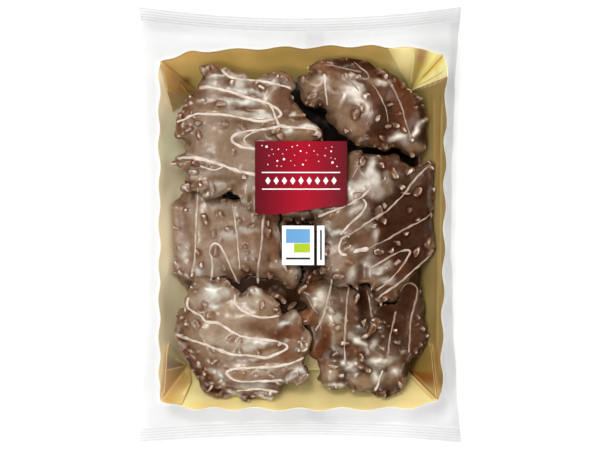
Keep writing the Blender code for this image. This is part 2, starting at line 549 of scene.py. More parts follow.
TL = dict(
    name="cake_top_left",
    outline=[
        (200, 67), (207, 65), (214, 65.5), (222, 68), (228, 68), (234, 71), (242, 74),
        (249, 79.5), (256, 80), (262, 77), (268, 75), (275, 74), (283, 74.5), (290, 77),
        (293, 82), (294, 88), (290, 92), (289, 98), (292, 104), (297, 108), (302, 113),
        (303, 119), (310, 122), (316, 126), (320, 131), (320, 137), (314, 141),
        (306, 147), (301, 160), (297, 176), (288, 192), (274, 203), (264, 210),
        (256, 212), (252, 204), (250, 197), (247, 205), (244, 201), (240, 196),
        (235, 194), (232, 189), (222, 192), (213, 196), (206, 196.5), (203, 192),
        (198, 190.5), (190, 190), (182, 189), (183, 186), (188, 183), (186, 178),
        (187, 172), (183, 168), (178, 165), (177, 158), (185, 155), (187, 148),
        (186, 140), (177, 136), (175, 130), (176, 122), (178, 116), (182, 108),
        (184, 103), (188, 98), (194, 94), (199, 88), (201, 82), (203, 76), (201, 72),
    ],
    top=29.4, tilt=(0.05, -0.030), thick=13.0, seed=11, rough=0.7, swell=0.8, sprinkle=8,
    bumps=[
        # x, y, half width, half height, turn, millimetres up
        (232, 88, 26, 8, -12, 1.1), (240, 108, 30, 6, -10, -0.9), (265, 97, 10, 9, 0, -1.3),
        (212, 112, 12, 8, 0, 0.6), (250, 118, 26, 5, -8, 0.9), (215, 140, 22, 16, 0, 0.7),
        (262, 141, 16, 6, 0, -1.0), (300, 133, 16, 6, 0, 1.3), (197, 168, 10, 8, 20, -1.0),
        (222, 180, 16, 6, -20, -1.2), (205, 184, 14, 5, 15, 0.9), (268, 84, 14, 5, 0, -0.8),
        (283, 112, 9, 12, 0, -1.1), (205, 76, 10, 6, 0, 0.9), (190, 148, 6, 14, 0, -0.9),
    ],
    nuts=[
        (231, 84, 3.0), (252, 92, 3.2), (221, 104, 2.3), (198, 124, 2.6), (199, 136, 2.6),
        (183, 127, 2.3), (187, 105, 2.6), (298, 116, 3.2), (224, 124, 2.6), (193, 173, 3.0),
        (245, 176, 3.0), (178, 162, 2.8), (181, 141, 2.2), (238, 203, 4.2), (187, 187, 3.4),
        (208, 194, 2.6), (249, 205, 3.8), (203, 70, 2.8), (224, 71, 2.4), (240, 77, 2.0),
        (268, 81, 2.2), (285, 80, 2.4), (316, 134, 2.8), (196, 118, 1.8), (262, 88, 2.2),
        (180, 115, 1.9), (183, 121, 1.7), (178, 132, 1.7), (181, 136, 1.6), (184, 133, 1.8),
        (190, 129, 1.8), (185, 145, 1.8), (192, 112, 1.8), (191, 98, 2.0), (196, 164, 2.0),
        (275, 131, 3.4), (242, 127, 2.2), (213, 68, 1.8), (257, 82, 1.8), (278, 77, 1.9),
        (180, 117, 2.0), (194, 162, 2.2), (200, 184, 2.2), (212, 188, 2.4), (292, 98, 1.8),
        (278, 84, 1.8), (204, 100, 2.2), (273, 131, 2.2), (281, 137, 2.4), (254, 97, 1.8),
    ],
)
TR = dict(
    name="cake_top_right",
    outline=[
        (300, 80), (303, 76), (310, 74), (311, 68), (315, 64), (322, 62), (330, 60.5),
        (340, 60), (350, 61), (360, 62), (370, 64), (377, 69), (384, 71), (390, 75),
        (400, 79), (404, 86), (410, 90), (418, 95), (421, 99), (424, 108), (425, 117),
        (427, 121), (424, 126), (426, 140), (424, 150), (418, 154), (410, 156),
        (405, 152), (400, 148), (392, 146), (384, 150), (372, 146), (362, 145.5),
        (356, 143), (348, 137), (341, 132), (336, 125), (328.5, 118), (329, 114),
        (325, 109), (320, 105), (315, 106), (310, 105), (306, 102), (303, 98), (301, 90),
    ],
    top=30.8, tilt=(-0.05, 0.0), thick=14.5, seed=23, skin="deep", rough=1.0,
    ridge=[(312, 68), (330, 73), (342, 75), (354, 85), (364, 96), (372, 108), (380, 118),
           (389, 128), (388, 140), (384, 150)],
    falls=(0.26, 0.50),
    bumps=[
        (345, 100, 12, 16, 35, 0.9), (322, 84, 10, 8, 0, 0.8), (352, 122, 10, 10, 0, -0.8),
        (378, 132, 9, 10, 0, 0.9), (386, 88, 12, 8, -30, 1.0), (405, 105, 8, 14, 20, -0.8),
        (401, 139, 10, 8, 0, 1.2), (418, 132, 6, 14, 0, 0.8), (370, 74, 16, 5, -25, -0.8),
        (395, 118, 8, 8, 0, -1.0), (340, 112, 7, 7, 0, -0.6),
    ],
    nuts=[
        (379, 72, 2.8), (365, 97, 2.6), (372, 112, 2.6), (378, 119, 2.4), (388, 126, 2.6),
        (396, 126, 2.6), (416, 108, 3.0), (426, 120, 2.4), (311, 97, 3.6), (386, 147, 2.6),
        (412, 140, 2.2), (355, 115, 3.0), (358, 143, 2.4), (390, 105, 2.6), (303, 80, 2.6),
        (346, 77, 2.6), (358, 77, 2.4), (347, 132, 2.2), (375, 144, 2.2), (332, 90, 2.0),
        (420, 99, 2.2), (402, 84, 2.0), (384, 78, 2.0), (362, 108, 2.0), (405, 130, 2.2),
        (424, 147, 2.2), (312, 72, 2.2), (330, 64, 2.0), (352, 65, 2.0), (383, 138, 2.2),
    ],
)
MR = dict(
    name="cake_mid_right",
    outline=[
        (347, 157), (352, 152), (360, 151), (365, 155), (375, 156), (385, 156), (391, 155),
        (397, 158), (401, 163), (410, 165), (418, 166), (426, 164), (431, 163), (434, 167),
        (434, 185), (434, 200), (433, 215), (434, 228), (436, 240), (438, 247), (434, 252),
        (425, 260), (418, 268), (410, 275), (405, 283), (398, 290), (397, 299), (393, 303),
        (385, 302), (378, 304), (377, 298), (374, 293), (370, 285), (362, 284), (356, 289),
        (350, 285), (345, 286), (338, 285), (330, 281), (325, 275), (323, 268), (324, 258),
        (323, 246), (318, 232), (315, 220), (312, 211), (316, 204), (324, 198), (333, 188),
        (341, 176), (346, 166),
    ],
    top=30.2, tilt=(-0.10, 0.010), thick=13.0, seed=37, skin="deep", rough=0.9,
    ridge=[(352, 150), (364, 178), (371, 200), (366, 214), (352, 226), (344, 238),
           (372, 244), (378, 262), (352, 292)],
    falls=(0.07, 0.20), ridge_soft=4.0,
    bumps=[
        (358, 180, 10, 20, 20, 1.0), (374, 168, 8, 8, 0, 0.8), (338, 266, 14, 16, 0, 1.3),
        (345, 225, 10, 8, 30, -0.7), (331, 222, 9, 9, 0, 0.8), (372, 215, 8, 8, 0, 0.7),
        (405, 205, 14, 22, 10, -0.8), (398, 172, 10, 6, 0, 0.9), (366, 250, 8, 10, 0, -0.9),
        (361, 232, 9, 6, 20, 0.8), (386, 262, 14, 8, 30, 0.9), (378, 280, 10, 8, 30, 0.7),
        (420, 235, 9, 14, 0, 0.6), (349, 196, 7, 7, 0, 0.8), (421, 175, 8, 7, 0, -0.8),
        (361, 268, 7, 12, 0, -1.2), (352, 160, 6, 6, 0, -0.9),
    ],
    nuts=[
        (382, 166, 3.2), (395, 175, 3.0), (410, 210, 2.6), (406, 193, 2.2), (417, 193, 2.4),
        (379, 212, 3.4), (384, 207, 2.8), (428, 243, 3.0), (431, 252, 2.2), (406, 234, 2.4),
        (338, 277, 2.8), (330, 216, 3.4), (346, 247, 3.2), (356, 287, 2.4), (362, 160, 2.4),
        (384, 180, 2.2), (411, 170, 2.4), (402, 188, 2.2), (409, 172, 2.0), (357, 196, 2.6),
        (383, 221, 2.4), (374, 226, 2.4), (377, 252, 2.8), (350, 262, 2.2), (348, 236, 1.8),
        (391, 251, 2.2), (385, 268, 2.2), (398, 262, 2.2), (386, 298, 2.6), (378, 300, 2.2),
        (416, 252, 2.4), (432, 168, 2.2), (375, 196, 2.0), (418, 220, 2.0), (398, 243, 2.0),
        (326, 250, 2.4), (329, 268, 2.2),
    ],
)
ML = dict(
    name="cake_mid_left",
    outline=[
        (171, 203), (180, 199), (187, 190), (200, 186), (216, 189), (224, 197), (236, 200),
        (248, 196), (262, 198), (276, 204), (279, 217), (277, 225), (280, 240), (280, 252), (281, 260), (288, 262),
        (296, 262), (301, 268), (301, 277), (298, 284), (292, 287), (286, 284),
        (280, 279), (272, 277), (262, 278), (252, 274), (244, 278), (236, 280),
        (228, 277), (220, 281), (204, 286), (194, 289), (187, 288), (180, 281), (175, 273),
        (173, 265), (175, 258), (174, 240), (170, 220),
    ],
    top=20.2, tilt=(0.05, 0.0), thick=14.0, seed=51, rough=0.7, swell=0.7, sprinkle=10,
    bumps=[
        (182, 235, 8, 30, 0, -1.3), (204, 232, 14, 26, 0, 0.8), (190, 250, 5, 20, 0, -0.8),
        (222, 258, 14, 12, 0, 0.8), (240, 235, 10, 22, 8, -0.6), (256, 250, 9, 18, 0, 0.7),
        (271, 240, 6, 16, 0, -1.0), (292, 272, 9, 12, 0, 3.2), (228, 205, 16, 10, 0, -0.8),
        (262, 275, 14, 6, 0, -1.8), (180, 262, 8, 8, 0, 0.6), (268, 262, 6, 8, 0, -1.2),
    ],
    nuts=[
        (216, 252, 3.6), (204, 218, 3.0), (245, 268, 2.8), (223, 275, 2.6), (175, 265, 2.4),
        (181, 272, 2.6), (228, 229, 2.0), (232, 232, 1.8), (213, 235, 2.0), (201, 265, 2.2),
        (192, 275, 2.4), (186, 210, 2.2), (239, 221, 2.0), (252, 226, 2.2), (269, 232, 2.0),
        (176, 228, 2.0), (197, 252, 2.0), (268, 223, 2.0), (177, 247, 2.0), (286, 268, 2.6),
        (295, 278, 2.6), (245, 246, 2.0), (255, 262, 2.2), (221, 214, 2.0),
    ],
)
BL = dict(
    name="cake_bottom_left",
    outline=[
        (191, 288), (194, 283), (200, 279), (207, 279), (213, 282), (219, 280), (225, 279),
        (230, 283), (235, 289), (240, 295), (245, 294), (248, 292), (249, 289), (253, 287),
        (260, 290), (268, 294), (273, 299), (277, 306), (281, 317), (286, 315), (291, 312),
        (297, 314), (303, 328), (308, 332), (310, 342), (309, 350), (304, 355), (303, 366),
        (306, 372), (305, 380), (300, 383), (285, 382), (280, 386), (277, 393), (271, 401),
        (262, 400), (255, 399), (247, 403), (243, 400), (237, 397), (230, 398), (218, 396),
        (210, 394), (203, 390), (199, 380), (196, 372), (187, 357), (179, 346), (175, 333),
        (177, 328), (176, 320), (178, 313), (184, 310), (186, 307), (186, 300), (188, 297),
    ],
    top=29.6, tilt=(0.045, 0.0), thick=13.5, seed=67, rough=0.7, swell=0.8, sprinkle=10,
    steep=[((176, 312), (186, 345), (200, 372), (222, 392), (262, 402)), 10.5, 0.62],
    bumps=[
        (207, 290, 12, 10, 0, 0.9), (262, 303, 12, 8, -25, 1.2), (228, 318, 24, 8, -20, 0.6),
        (212, 334, 18, 8, -20, 0.8), (262, 330, 22, 7, -10, -1.1), (250, 346, 24, 5, -5, 0.7),
        (285, 340, 10, 8, 0, -0.8), (262, 362, 28, 4, 0, -0.9), (255, 374, 26, 4, 0, 0.8),
        (218, 364, 14, 10, 30, -0.9), (293, 332, 8, 14, 0, 1.0), (255, 386, 22, 4, 0, -0.9),
        (290, 374, 12, 6, 0, 1.0), (222, 300, 10, 8, 0, -0.7), (295, 325, 7, 8, 0, 0.8),
    ],
    nuts=[
        (210, 315, 2.6), (188, 325, 2.6), (186, 345, 2.8), (196, 325, 2.4), (231, 340, 2.2),
        (240, 352, 2.2), (263, 305, 2.8), (252, 290, 2.2), (285, 323, 2.8), (300, 342, 3.6), (304, 347, 3.2), (299, 350, 2.4),
        (293, 374, 4.8), (301, 379, 4.0), (255, 376, 2.2), (244, 373, 2.2), (272, 376, 2.6),
        (196, 292, 2.4), (226, 283, 2.4), (205, 305, 2.2), (188, 306, 2.4), (200, 312, 2.2),
        (214, 362, 2.4), (206, 372, 2.6), (220, 380, 2.4), (232, 390, 2.8), (262, 398, 2.8),
        (244, 398, 2.4), (210, 388, 2.4), (271, 392, 2.2), (258, 352, 1.8), (280, 344, 2.0),
        (305, 349, 2.2), (276, 309, 2.0), (180, 336, 2.2), (226, 370, 2.0), (283, 380, 2.2),
        (214, 349, 2.0),
    ],
)
BR = dict(
    name="cake_bottom_right",
    outline=[
        (300, 291), (305, 288), (312, 287), (322, 281), (340, 274), (360, 268), (385, 262),
        (400, 260), (411, 262), (417, 272), (420, 288), (422, 303), (424, 316), (426, 325),
        (429, 337), (427, 343), (425, 349), (418, 354), (410, 359), (408, 370), (405, 378),
        (400, 388), (399, 393), (392, 395), (385, 396.5), (378, 395), (373, 391),
        (365, 391), (357, 390), (351, 389), (348, 385), (342, 386), (336, 388), (330, 388),
        (325, 386), (321, 380), (320, 370), (318, 362), (313, 356), (311, 350), (312, 340),
        (310, 332), (305, 324), (299, 321), (296, 315), (301, 312), (307, 308), (303, 300),
    ],
    top=24.4, tilt=(-0.11, -0.110), thick=13.0, seed=83, skin="deep", rough=1.2,
    bumps=[
        (340, 300, 12, 14, 0, 0.9), (322, 340, 8, 26, 5, -1.2), (335, 330, 8, 14, 0, 0.7),
        (330, 374, 12, 10, 0, 1.1), (356, 380, 14, 9, 0, 1.2), (390, 378, 12, 12, 0, 1.3),
        (347, 352, 8, 10, 0, -1.2), (366, 345, 8, 12, 0, -0.9), (362, 300, 6, 15, 0, -2.8),
        (380, 340, 12, 12, 0, 0.6), (402, 310, 14, 26, 5, -0.8), (418, 335, 8, 12, 0, 0.7),
        (370, 328, 12, 10, 0, 1.3), (370, 362, 16, 5, -15, 0.9), (312, 308, 8, 10, 0, 0.7),
        (357, 320, 6, 8, 0, -0.8),
    ],
    nuts=[
        (364, 322, 3.2), (371, 330, 3.4), (376, 320, 2.6), (378, 327, 2.6), (366, 336, 2.8),
        (357, 300, 2.6), (338, 328, 2.6), (332, 303, 2.2), (331, 311, 2.4), (345, 343, 2.4),
        (342, 375, 3.0), (403, 352, 3.2), (382, 348, 2.2), (427, 336, 2.4), (302, 290, 3.0),
        (336, 354, 2.4), (359, 366, 2.4), (368, 370, 2.2), (320, 360, 2.0), (334, 366, 2.4),
        (400, 385, 2.6), (393, 392, 2.6), (384, 394, 2.4), (395, 332, 2.4), (398, 342, 2.2),
        (384, 322, 2.2), (421, 345, 2.2), (416, 351, 2.4), (388, 358, 2.0), (362, 358, 2.0),
        (380, 366, 2.0), (350, 386, 2.2), (336, 386, 2.2), (305, 322, 2.4), (299, 318, 2.2),
        (419, 318, 2.0), (423, 329, 2.0), (346, 318, 2.0),
    ],
)
# a lower piece in the near-black shaded coat: painted shade in the deep gap between the upper cakes
UNDER_A = dict(
    name="cake_under_top",
    outline=[
        (268, 84), (300, 74), (335, 96), (362, 118), (400, 140), (426, 147), (431, 153), (431, 180),
        (392, 180), (352, 190), (330, 205), (292, 206), (268, 206), (250, 212), (224, 206),
        (214, 186), (238, 174), (254, 158), (254, 130),
    ],
    top=8.6, tilt=(0.0, 0.0), thick=7.0, seed=97, bumps=[], nuts=[], plain=True, skin="dark",
)
UNDER_B = dict(
    name="cake_under_middle",
    outline=[
        (226, 262), (250, 250), (268, 232), (272, 212), (286, 202), (312, 200), (330, 206),
        (336, 232), (336, 262), (338, 292), (330, 318), (312, 338), (290, 338), (262, 322),
        (238, 306), (224, 286),
    ],
    top=13.0, tilt=(0.0, 0.0), thick=11.0, seed=101,
    bumps=[(276, 296, 8, 7, 0, 1.6), (312, 276, 9, 6, 0, 1.0), (293, 309, 8, 6, 0, 1.6),
           (293, 213, 15, 5.5, 0, 11.0), (309, 212, 6, 5, 0, 8.0)],
    nuts=[(270, 292, 2.6), (282, 300, 2.8), (316, 272, 2.6), (293, 306, 2.6), (288, 217, 2.8),
          (298, 221, 3.0), (306, 216, 2.6), (312, 222, 2.8), (283, 222, 2.6), (276, 296, 2.6),
          (264, 300, 2.4), (308, 282, 2.4)],
    skin="dim",
)

# tones painted on the coat. The two palest are a painted highlight and a painted sheen, reflections of the lamps; red
# and dark are painted shade on slopes turned from the light, in sunk places and in gaps; tan is a paler brown, partly
# the coat's own tone and partly painted light on lit slopes; rust is an orange-brown of the coat.
SKINS = dict(
    glare=(0.78, 0.77, 0.73),
    haze=(0.44, 0.395, 0.35),
    tan=(0.252, 0.163, 0.104),
    rust=(0.165, 0.064, 0.026),
    red=(0.100, 0.032, 0.013),
    dark=(0.030, 0.0105, 0.0050),
)
SUNK = dict(glare=0.12, haze=0.26, tan=0.05, rust=-0.15, red=-0.25, dark=-0.30)
# layout x, y, radii and turn, then the tone and its share
COATS = dict(
    cake_top_right=[
        (312, 90, 13, 12, 0, "tan", 0.75), (338, 98, 16, 14, 40, "tan", 0.80),
        (350, 124, 15, 12, 40, "tan", 0.85), (330, 84, 20, 8, 0, "tan", 0.6),
        (345, 114, 12, 8, 30, "tan", 0.7), (357, 132, 10, 9, 30, "tan", 0.5),
        (376, 137, 13, 9, 30, "red", 0.8), (368, 124, 8, 6, 40, "rust", 0.5),
        (384, 112, 14, 11, 30, "dark", 0.75), (377, 129, 9, 12, 0, "dark", 0.85),
        (387, 134, 8, 9, 0, "dark", 0.7), (372, 100, 9, 9, 30, "red", 0.6),
        (365, 64, 22, 3.6, 8, "dark", 0.85), (345, 62, 20, 3, 0, "dark", 0.85),
        (402, 100, 13, 18, -20, "red", 0.75), (398, 84, 13, 7, 35, "red", 0.8),
        (419, 112, 5, 12, 0, "dark", 0.7), (422, 134, 5, 12, 0, "dark", 0.85),
        (378, 76, 13, 5, 25, "red", 0.75), (402, 120, 9, 10, 0, "red", 0.6),
        (335, 72.5, 13, 3.4, 5, "rust", 0.8), (322, 67, 13, 3.4, -10, "rust", 0.85), (378, 90, 8, 4, 0, "red", 0.6),
        (357, 99, 21, 6.4, 50, "haze", 1.0), (344, 96, 12, 2.6, 113, "haze", 0.95),
        (322, 80, 8, 3.4, 0, "haze", 0.85), (329, 87, 5, 4, 0, "haze", 0.75),
        (335, 90, 4, 3, 0, "haze", 0.55), (311, 92, 4, 3, 0, "haze", 0.7),
        (382, 83.5, 8.5, 4.2, 5, "haze", 0.95), (371, 83, 6, 4, 0, "tan", 0.7),
        (398, 137, 9, 4.4, -10, "haze", 0.9), (407, 142, 6, 5, 0, "haze", 0.55),
        (414, 130, 3.0, 9, 12, "haze", 0.9), (420, 122, 5, 3, -25, "haze", 0.6),
        (352, 77, 11, 2.8, 15, "haze", 0.7), (416, 148, 11, 5, 10, "tan", 0.55),
        (311, 100, 5, 5, 0, "tan", 0.7), (340, 141, 20, 3, 33, "tan", 0.4),
        (356, 86, 10, 2.6, 48, "haze", 0.8), (340, 80, 12, 3, 5, "tan", 0.5),
        (357, 98, 14, 3.4, 51, "glare", 0.9), (350, 90, 6, 3.4, 45, "glare", 0.55),
        (368, 112, 5, 2.2, 40, "glare", 0.5), (382, 83, 5, 2.0, 5, "glare", 0.6),
        (344, 95, 8, 1.3, 113, "glare", 0.65), (400, 136, 6, 2.2, -10, "glare", 0.7),
        (414, 130, 1.6, 6, 12, "glare", 0.7), (323, 79, 4, 1.6, 0, "glare", 0.5),
        (352, 76, 7, 1.2, 15, "glare", 0.4), (421, 121, 3, 1.2, -25, "glare", 0.5),
    ],
    cake_mid_right=[
        (335, 218, 16, 8, -20, "tan", 0.65), (350, 222, 16, 12, 0, "tan", 0.60),
        (340, 262, 15, 21, 0, "tan", 0.78), (364, 245, 11, 16, 0, "tan", 0.50),
        (355, 238, 12, 8, 0, "red", 0.35), (386, 184, 14, 8, 0, "tan", 0.5),
        (372, 280, 12, 8, 0, "tan", 0.6), (353, 163, 6, 10, 0, "tan", 0.5),
        (404, 222, 23, 26, 0, "dark", 0.72), (410, 190, 17, 15, 0, "dark", 0.60),
        (425, 212, 10, 42, 0, "dark", 0.60), (392, 196, 15, 6, -40, "dark", 0.6),
        (385, 165, 11, 8, 0, "red", 0.7), (400, 250, 15, 14, 0, "dark", 0.70),
        (413, 265, 10, 13, 0, "dark", 0.8), (376, 206, 6, 13, 20, "dark", 0.65),
        (386, 234, 9, 14, 0, "dark", 0.6), (398, 268, 8, 9, 0, "red", 0.6),
        (405, 168, 12, 6, 0, "red", 0.5), (354, 172, 5, 10, 10, "rust", 0.6),
        (380, 232, 6, 10, 20, "red", 0.5),
        (368, 172, 5.6, 15, 14, "haze", 1.0), (360, 186, 17, 7, -18, "haze", 0.95),
        (373, 192, 9, 9, 0, "haze", 0.75), (352, 195, 6, 11, 0, "haze", 0.85),
        (354, 210, 8, 4.6, -20, "haze", 0.85), (339, 232, 8, 3.8, -15, "haze", 0.85),
        (375, 236, 4.6, 6, 0, "haze", 0.65), (349, 250, 7, 4.4, 30, "haze", 0.7),
        (365, 263, 8, 3.8, 20, "haze", 0.55), (350, 274, 4.6, 10, 0, "haze", 0.7),
        (378, 268, 13, 4.2, -12, "haze", 0.7), (386, 281, 9, 4.4, 15, "haze", 0.6),
        (322, 208, 16, 2.4, -9, "haze", 0.5), (371, 228, 9, 3.4, 35, "haze", 0.5),
        (388, 178, 6, 5, 0, "haze", 0.45), (347, 264, 5, 4, 0, "rust", 0.7),
        (345, 246, 3.4, 4, 0, "red", 0.6), (430, 205, 2.6, 36, 0, "haze", 0.16),
        (429, 244, 4, 5, 0, "tan", 0.9), (410, 171, 3, 3.6, 0, "haze", 0.5),
        (392, 173, 6, 3, 10, "tan", 0.7), (330, 262, 6, 12, 0, "haze", 0.28),
        (416, 181, 5, 9, 25, "tan", 0.35),
        (369, 168, 3.2, 10, 14, "glare", 0.6), (362, 186, 11, 3.6, -18, "glare", 0.5),
        (373, 179, 5, 6, 0, "glare", 0.5), (352, 197, 3, 6, 0, "glare", 0.45),
        (353, 210, 5, 1.8, -20, "glare", 0.45), (339, 232, 5, 1.6, -15, "glare", 0.45),
        (379, 268, 9, 1.8, -30, "glare", 0.5), (388, 281, 6, 1.6, -30, "glare", 0.5),
        (349, 250, 4, 1.6, 30, "glare", 0.35), (350, 274, 2, 5, 0, "glare", 0.3),
        (375, 236, 2, 3, 0, "glare", 0.3),
    ],
    cake_bottom_right=[
        (319, 300, 11, 9, 0, "tan", 0.8), (326, 317, 10, 12, 0, "tan", 0.75),
        (336, 332, 9, 14, 0, "tan", 0.6), (329, 372, 11, 10, 0, "tan", 0.9),
        (361, 382, 13, 8, 0, "tan", 0.85), (390, 374, 11, 11, 0, "tan", 0.55),
        (347, 330, 8, 22, 0, "tan", 0.45), (356, 300, 5, 11, 0, "tan", 0.5),
        (378, 352, 14, 8, 0, "tan", 0.45), (342, 296, 8, 10, 0, "tan", 0.3),
        (312, 289, 12, 4, -8, "rust", 0.85), (309, 316, 10, 5.6, 40, "rust", 0.95),
        (324, 332, 8, 8, 30, "rust", 0.7), (324, 344, 7, 12, 10, "red", 0.95),
        (316, 354, 7, 11, 0, "red", 0.85), (353, 354, 9, 10, 0, "red", 0.75),
        (353, 320, 5, 14, 0, "red", 0.6), (338, 304, 6, 8, 0, "red", 0.4),
        (363, 300, 6, 20, 0, "dark", 0.96), (385, 312, 11, 9, 0, "dark", 0.95),
        (402, 300, 11, 14, 0, "dark", 0.70), (393, 330, 12, 12, 0, "dark", 0.8),
        (411, 325, 14, 24, 0, "dark", 0.50), (412, 330, 12, 18, 0, "red", 0.35),
        (404, 371, 6, 11, 0, "dark", 0.75), (386, 394, 14, 2.8, 0, "dark", 0.85),
        (380, 370, 4, 3, 0, "dark", 0.8), (414, 285, 9, 14, 0, "dark", 0.8),
        (350, 388, 5, 3, 0, "dark", 0.7), (322, 360, 4, 12, 10, "red", 0.6),
        (321, 298, 7, 9, 0, "haze", 0.8), (316, 302, 4, 3, 0, "haze", 0.6),
        (330, 314, 6, 8, 0, "haze", 0.5), (337, 317, 4, 5, 0, "haze", 0.6),
        (360, 343, 6, 4.4, 15, "haze", 1.0), (373, 343, 3.6, 6, 0, "haze", 0.7),
        (365, 352, 3, 5, -20, "haze", 0.7), (344, 364, 4, 4, 0, "haze", 0.85),
        (335, 384, 10, 2.6, -3, "haze", 0.7), (380, 361, 12, 4.6, -12, "haze", 0.85),
        (375, 375, 5, 8, 0, "haze", 0.75), (391, 374, 4.6, 5, 0, "haze", 0.7),
        (352, 339, 4, 4, 0, "haze", 0.55),
        (330, 372, 7, 6, 0, "haze", 0.25), (352, 367, 8, 3, -25, "haze", 0.6),
        (340, 352, 8, 3, 30, "haze", 0.35), (397, 382, 6, 4, 0, "rust", 0.4),
        (360, 343, 4, 2.4, 15, "glare", 0.8), (380, 360, 8, 2.0, -12, "glare", 0.7),
        (375, 375, 2.2, 5, 0, "glare", 0.6), (321, 297, 3.2, 5, 0, "glare", 0.5),
        (352, 367, 5, 1.3, -25, "glare", 0.5), (344, 364, 2.2, 2, 0, "glare", 0.6),
        (335, 384, 7, 1.2, -3, "glare", 0.5), (391, 374, 2.2, 2.4, 0, "glare", 0.5),
        (330, 313, 2.4, 4, 0, "glare", 0.35),
    ],
    cake_top_left=[
        (181, 128, 5.5, 17, 6, "rust", 0.75), (186, 104, 4, 9, 25, "rust", 0.5),
        (190, 176, 6, 9, -20, "rust", 0.55), (285, 79, 11, 4.5, 8, "rust", 0.6), (216, 68, 12, 2.6, 6, "rust", 0.6),
        (225, 150, 50, 50, 0, "tan", 0.72), (250, 100, 50, 30, 10, "tan", 0.60),
        (292, 130, 26, 14, 0, "tan", 0.62), (222, 185, 34, 14, 0, "tan", 0.55), (258, 190, 14, 20, 0, "tan", 0.7),
        (207, 78, 6, 7, 0, "red", 0.45), (284, 89, 8, 8, 0, "red", 0.6),
        (286, 101, 12, 10, 30, "red", 0.75), (290, 115, 9, 7, 0, "red", 0.55),
        (250, 110, 17, 3.6, 3, "red", 0.50), (230, 95.5, 13, 2.8, 12, "red", 0.50),
        (243, 123, 22, 2.8, 5, "red", 0.35), (256, 137, 14, 4.6, -5, "red", 0.30),
        (190, 163, 5, 6, 0, "red", 0.5), (196, 183, 9, 4, 5, "red", 0.55),
        (205, 171, 6, 5, 0, "red", 0.30), (189, 96, 9, 3.6, -50, "red", 0.6),
        (183, 147, 3, 13, 0, "dark", 0.6), (227, 84, 5, 5, 0, "red", 0.5),
        (247, 89, 4, 6, 0, "red", 0.55), (257, 92, 3, 4, 0, "red", 0.5), (182, 112, 5, 3, -40, "red", 0.6),
        (205, 89, 8, 2, 3, "red", 0.3), (178, 130, 3, 12, 0, "red", 0.5), (232, 181, 14, 3, 15, "red", 0.35),
        (214, 84, 8, 8, -20, "haze", 0.55), (246, 93, 21, 4.2, 15, "haze", 0.7),
        (241, 84, 7, 6, 0, "haze", 0.75), (216, 74, 9, 2.6, 5, "haze", 0.55),
        (237, 78, 10, 2.8, 16, "haze", 0.7), (260, 80, 12, 2.6, 3, "haze", 0.55),
        (275, 84, 7, 5.5, 40, "haze", 0.65), (228, 105, 8, 5.5, 0, "haze", 0.8),
        (244, 104, 11, 3.6, 5, "haze", 1.0), (238, 114, 14, 2.6, 5, "haze", 0.7),
        (262, 117, 12, 4, 8, "haze", 0.75), (202, 100, 7, 3.6, 0, "haze", 0.7),
        (240, 136, 9, 3.6, -15, "haze", 0.6), (292, 131, 6, 3.6, -20, "haze", 0.7),
        (310, 128.5, 9, 2.6, 4, "haze", 0.9), (208, 173, 13, 4.4, 8, "haze", 0.30),
        (218, 186, 12, 4.4, -15, "haze", 0.45), (193, 172, 3, 5, 0, "haze", 0.6),
        (250, 184, 7, 9, -20, "haze", 0.45), (238, 201, 8, 5, 0, "haze", 0.7),
        (207, 194, 6, 2.6, -10, "haze", 0.65), (183, 188, 4, 2.6, 0, "haze", 0.8),
        (245, 177, 6, 3, 0, "haze", 0.7), (253, 204, 3, 7, -15, "haze", 0.6),
        (196, 157, 12, 2.2, 3, "haze", 0.6), (212, 161, 8, 2.2, 15, "haze", 0.5),
        (212, 130, 22, 14, 0, "haze", 0.10), (267, 97, 6, 4, 30, "haze", 0.6),
        (226, 72, 5, 2, -20, "haze", 0.5), (285, 84, 6, 2, 20, "haze", 0.4),
        (246, 92, 13, 1.8, 15, "glare", 0.45), (241, 84, 4, 3, 0, "glare", 0.4),
        (244, 104, 7, 1.8, 5, "glare", 0.8), (228, 104, 4.4, 2.6, 0, "glare", 0.5),
        (262, 117, 8, 2.0, 8, "glare", 0.5), (310, 128.4, 7, 1.3, 4, "glare", 0.7),
        (273, 84, 3, 3, 40, "glare", 0.5), (218, 74, 6, 1.1, 5, "glare", 0.5),
        (240, 136, 5, 1.6, -15, "glare", 0.3), (183, 188, 3, 1.4, 0, "glare", 0.6),
        (238, 201, 5, 2.0, 0, "glare", 0.5), (208, 194, 4, 1.2, -10, "glare", 0.5),
        (202, 99, 4, 1.6, 0, "glare", 0.4), (218, 185, 8, 1.6, -15, "glare", 0.3),
        (187.2, 104.7, 2.2, 1.6, 20, "glare", 0.8), (180.6, 115, 1.1, 1.8, 0, "glare", 0.7),
        (182.6, 128, 1.9, 1.3, -20, "glare", 0.8), (190, 129, 1.0, 1.5, 0, "glare", 0.6),
        (178, 136, 1.2, 0.9, 0, "glare", 0.7), (184.5, 141, 1.1, 1.1, 0, "glare", 0.6),
        (180, 158.5, 2.4, 1.2, 10, "glare", 0.7), (180.5, 164.5, 2.0, 1.6, 0, "glare", 0.6),
        (190, 173, 1.1, 3.4, -15, "glare", 0.5), (186.6, 187.6, 2.4, 1.5, 10, "glare", 0.6),
        (236.5, 199.5, 4.2, 2.6, -15, "haze", 0.9), (236, 198.5, 2.8, 1.2, -15, "glare", 0.6),
        (205.8, 67.6, 3.2, 1.2, -15, "glare", 0.7), (223, 68.6, 2.6, 1.0, -20, "glare", 0.7),
        (294.7, 114.7, 2.6, 1.6, -20, "glare", 0.7), (293, 132, 2.0, 1.3, 30, "glare", 0.6),
    ],
    cake_mid_left=[
        (215, 235, 60, 46, 0, "tan", 0.90), (268, 262, 26, 24, 0, "tan", 0.45), (292, 272, 11, 12, 0, "tan", 0.7),
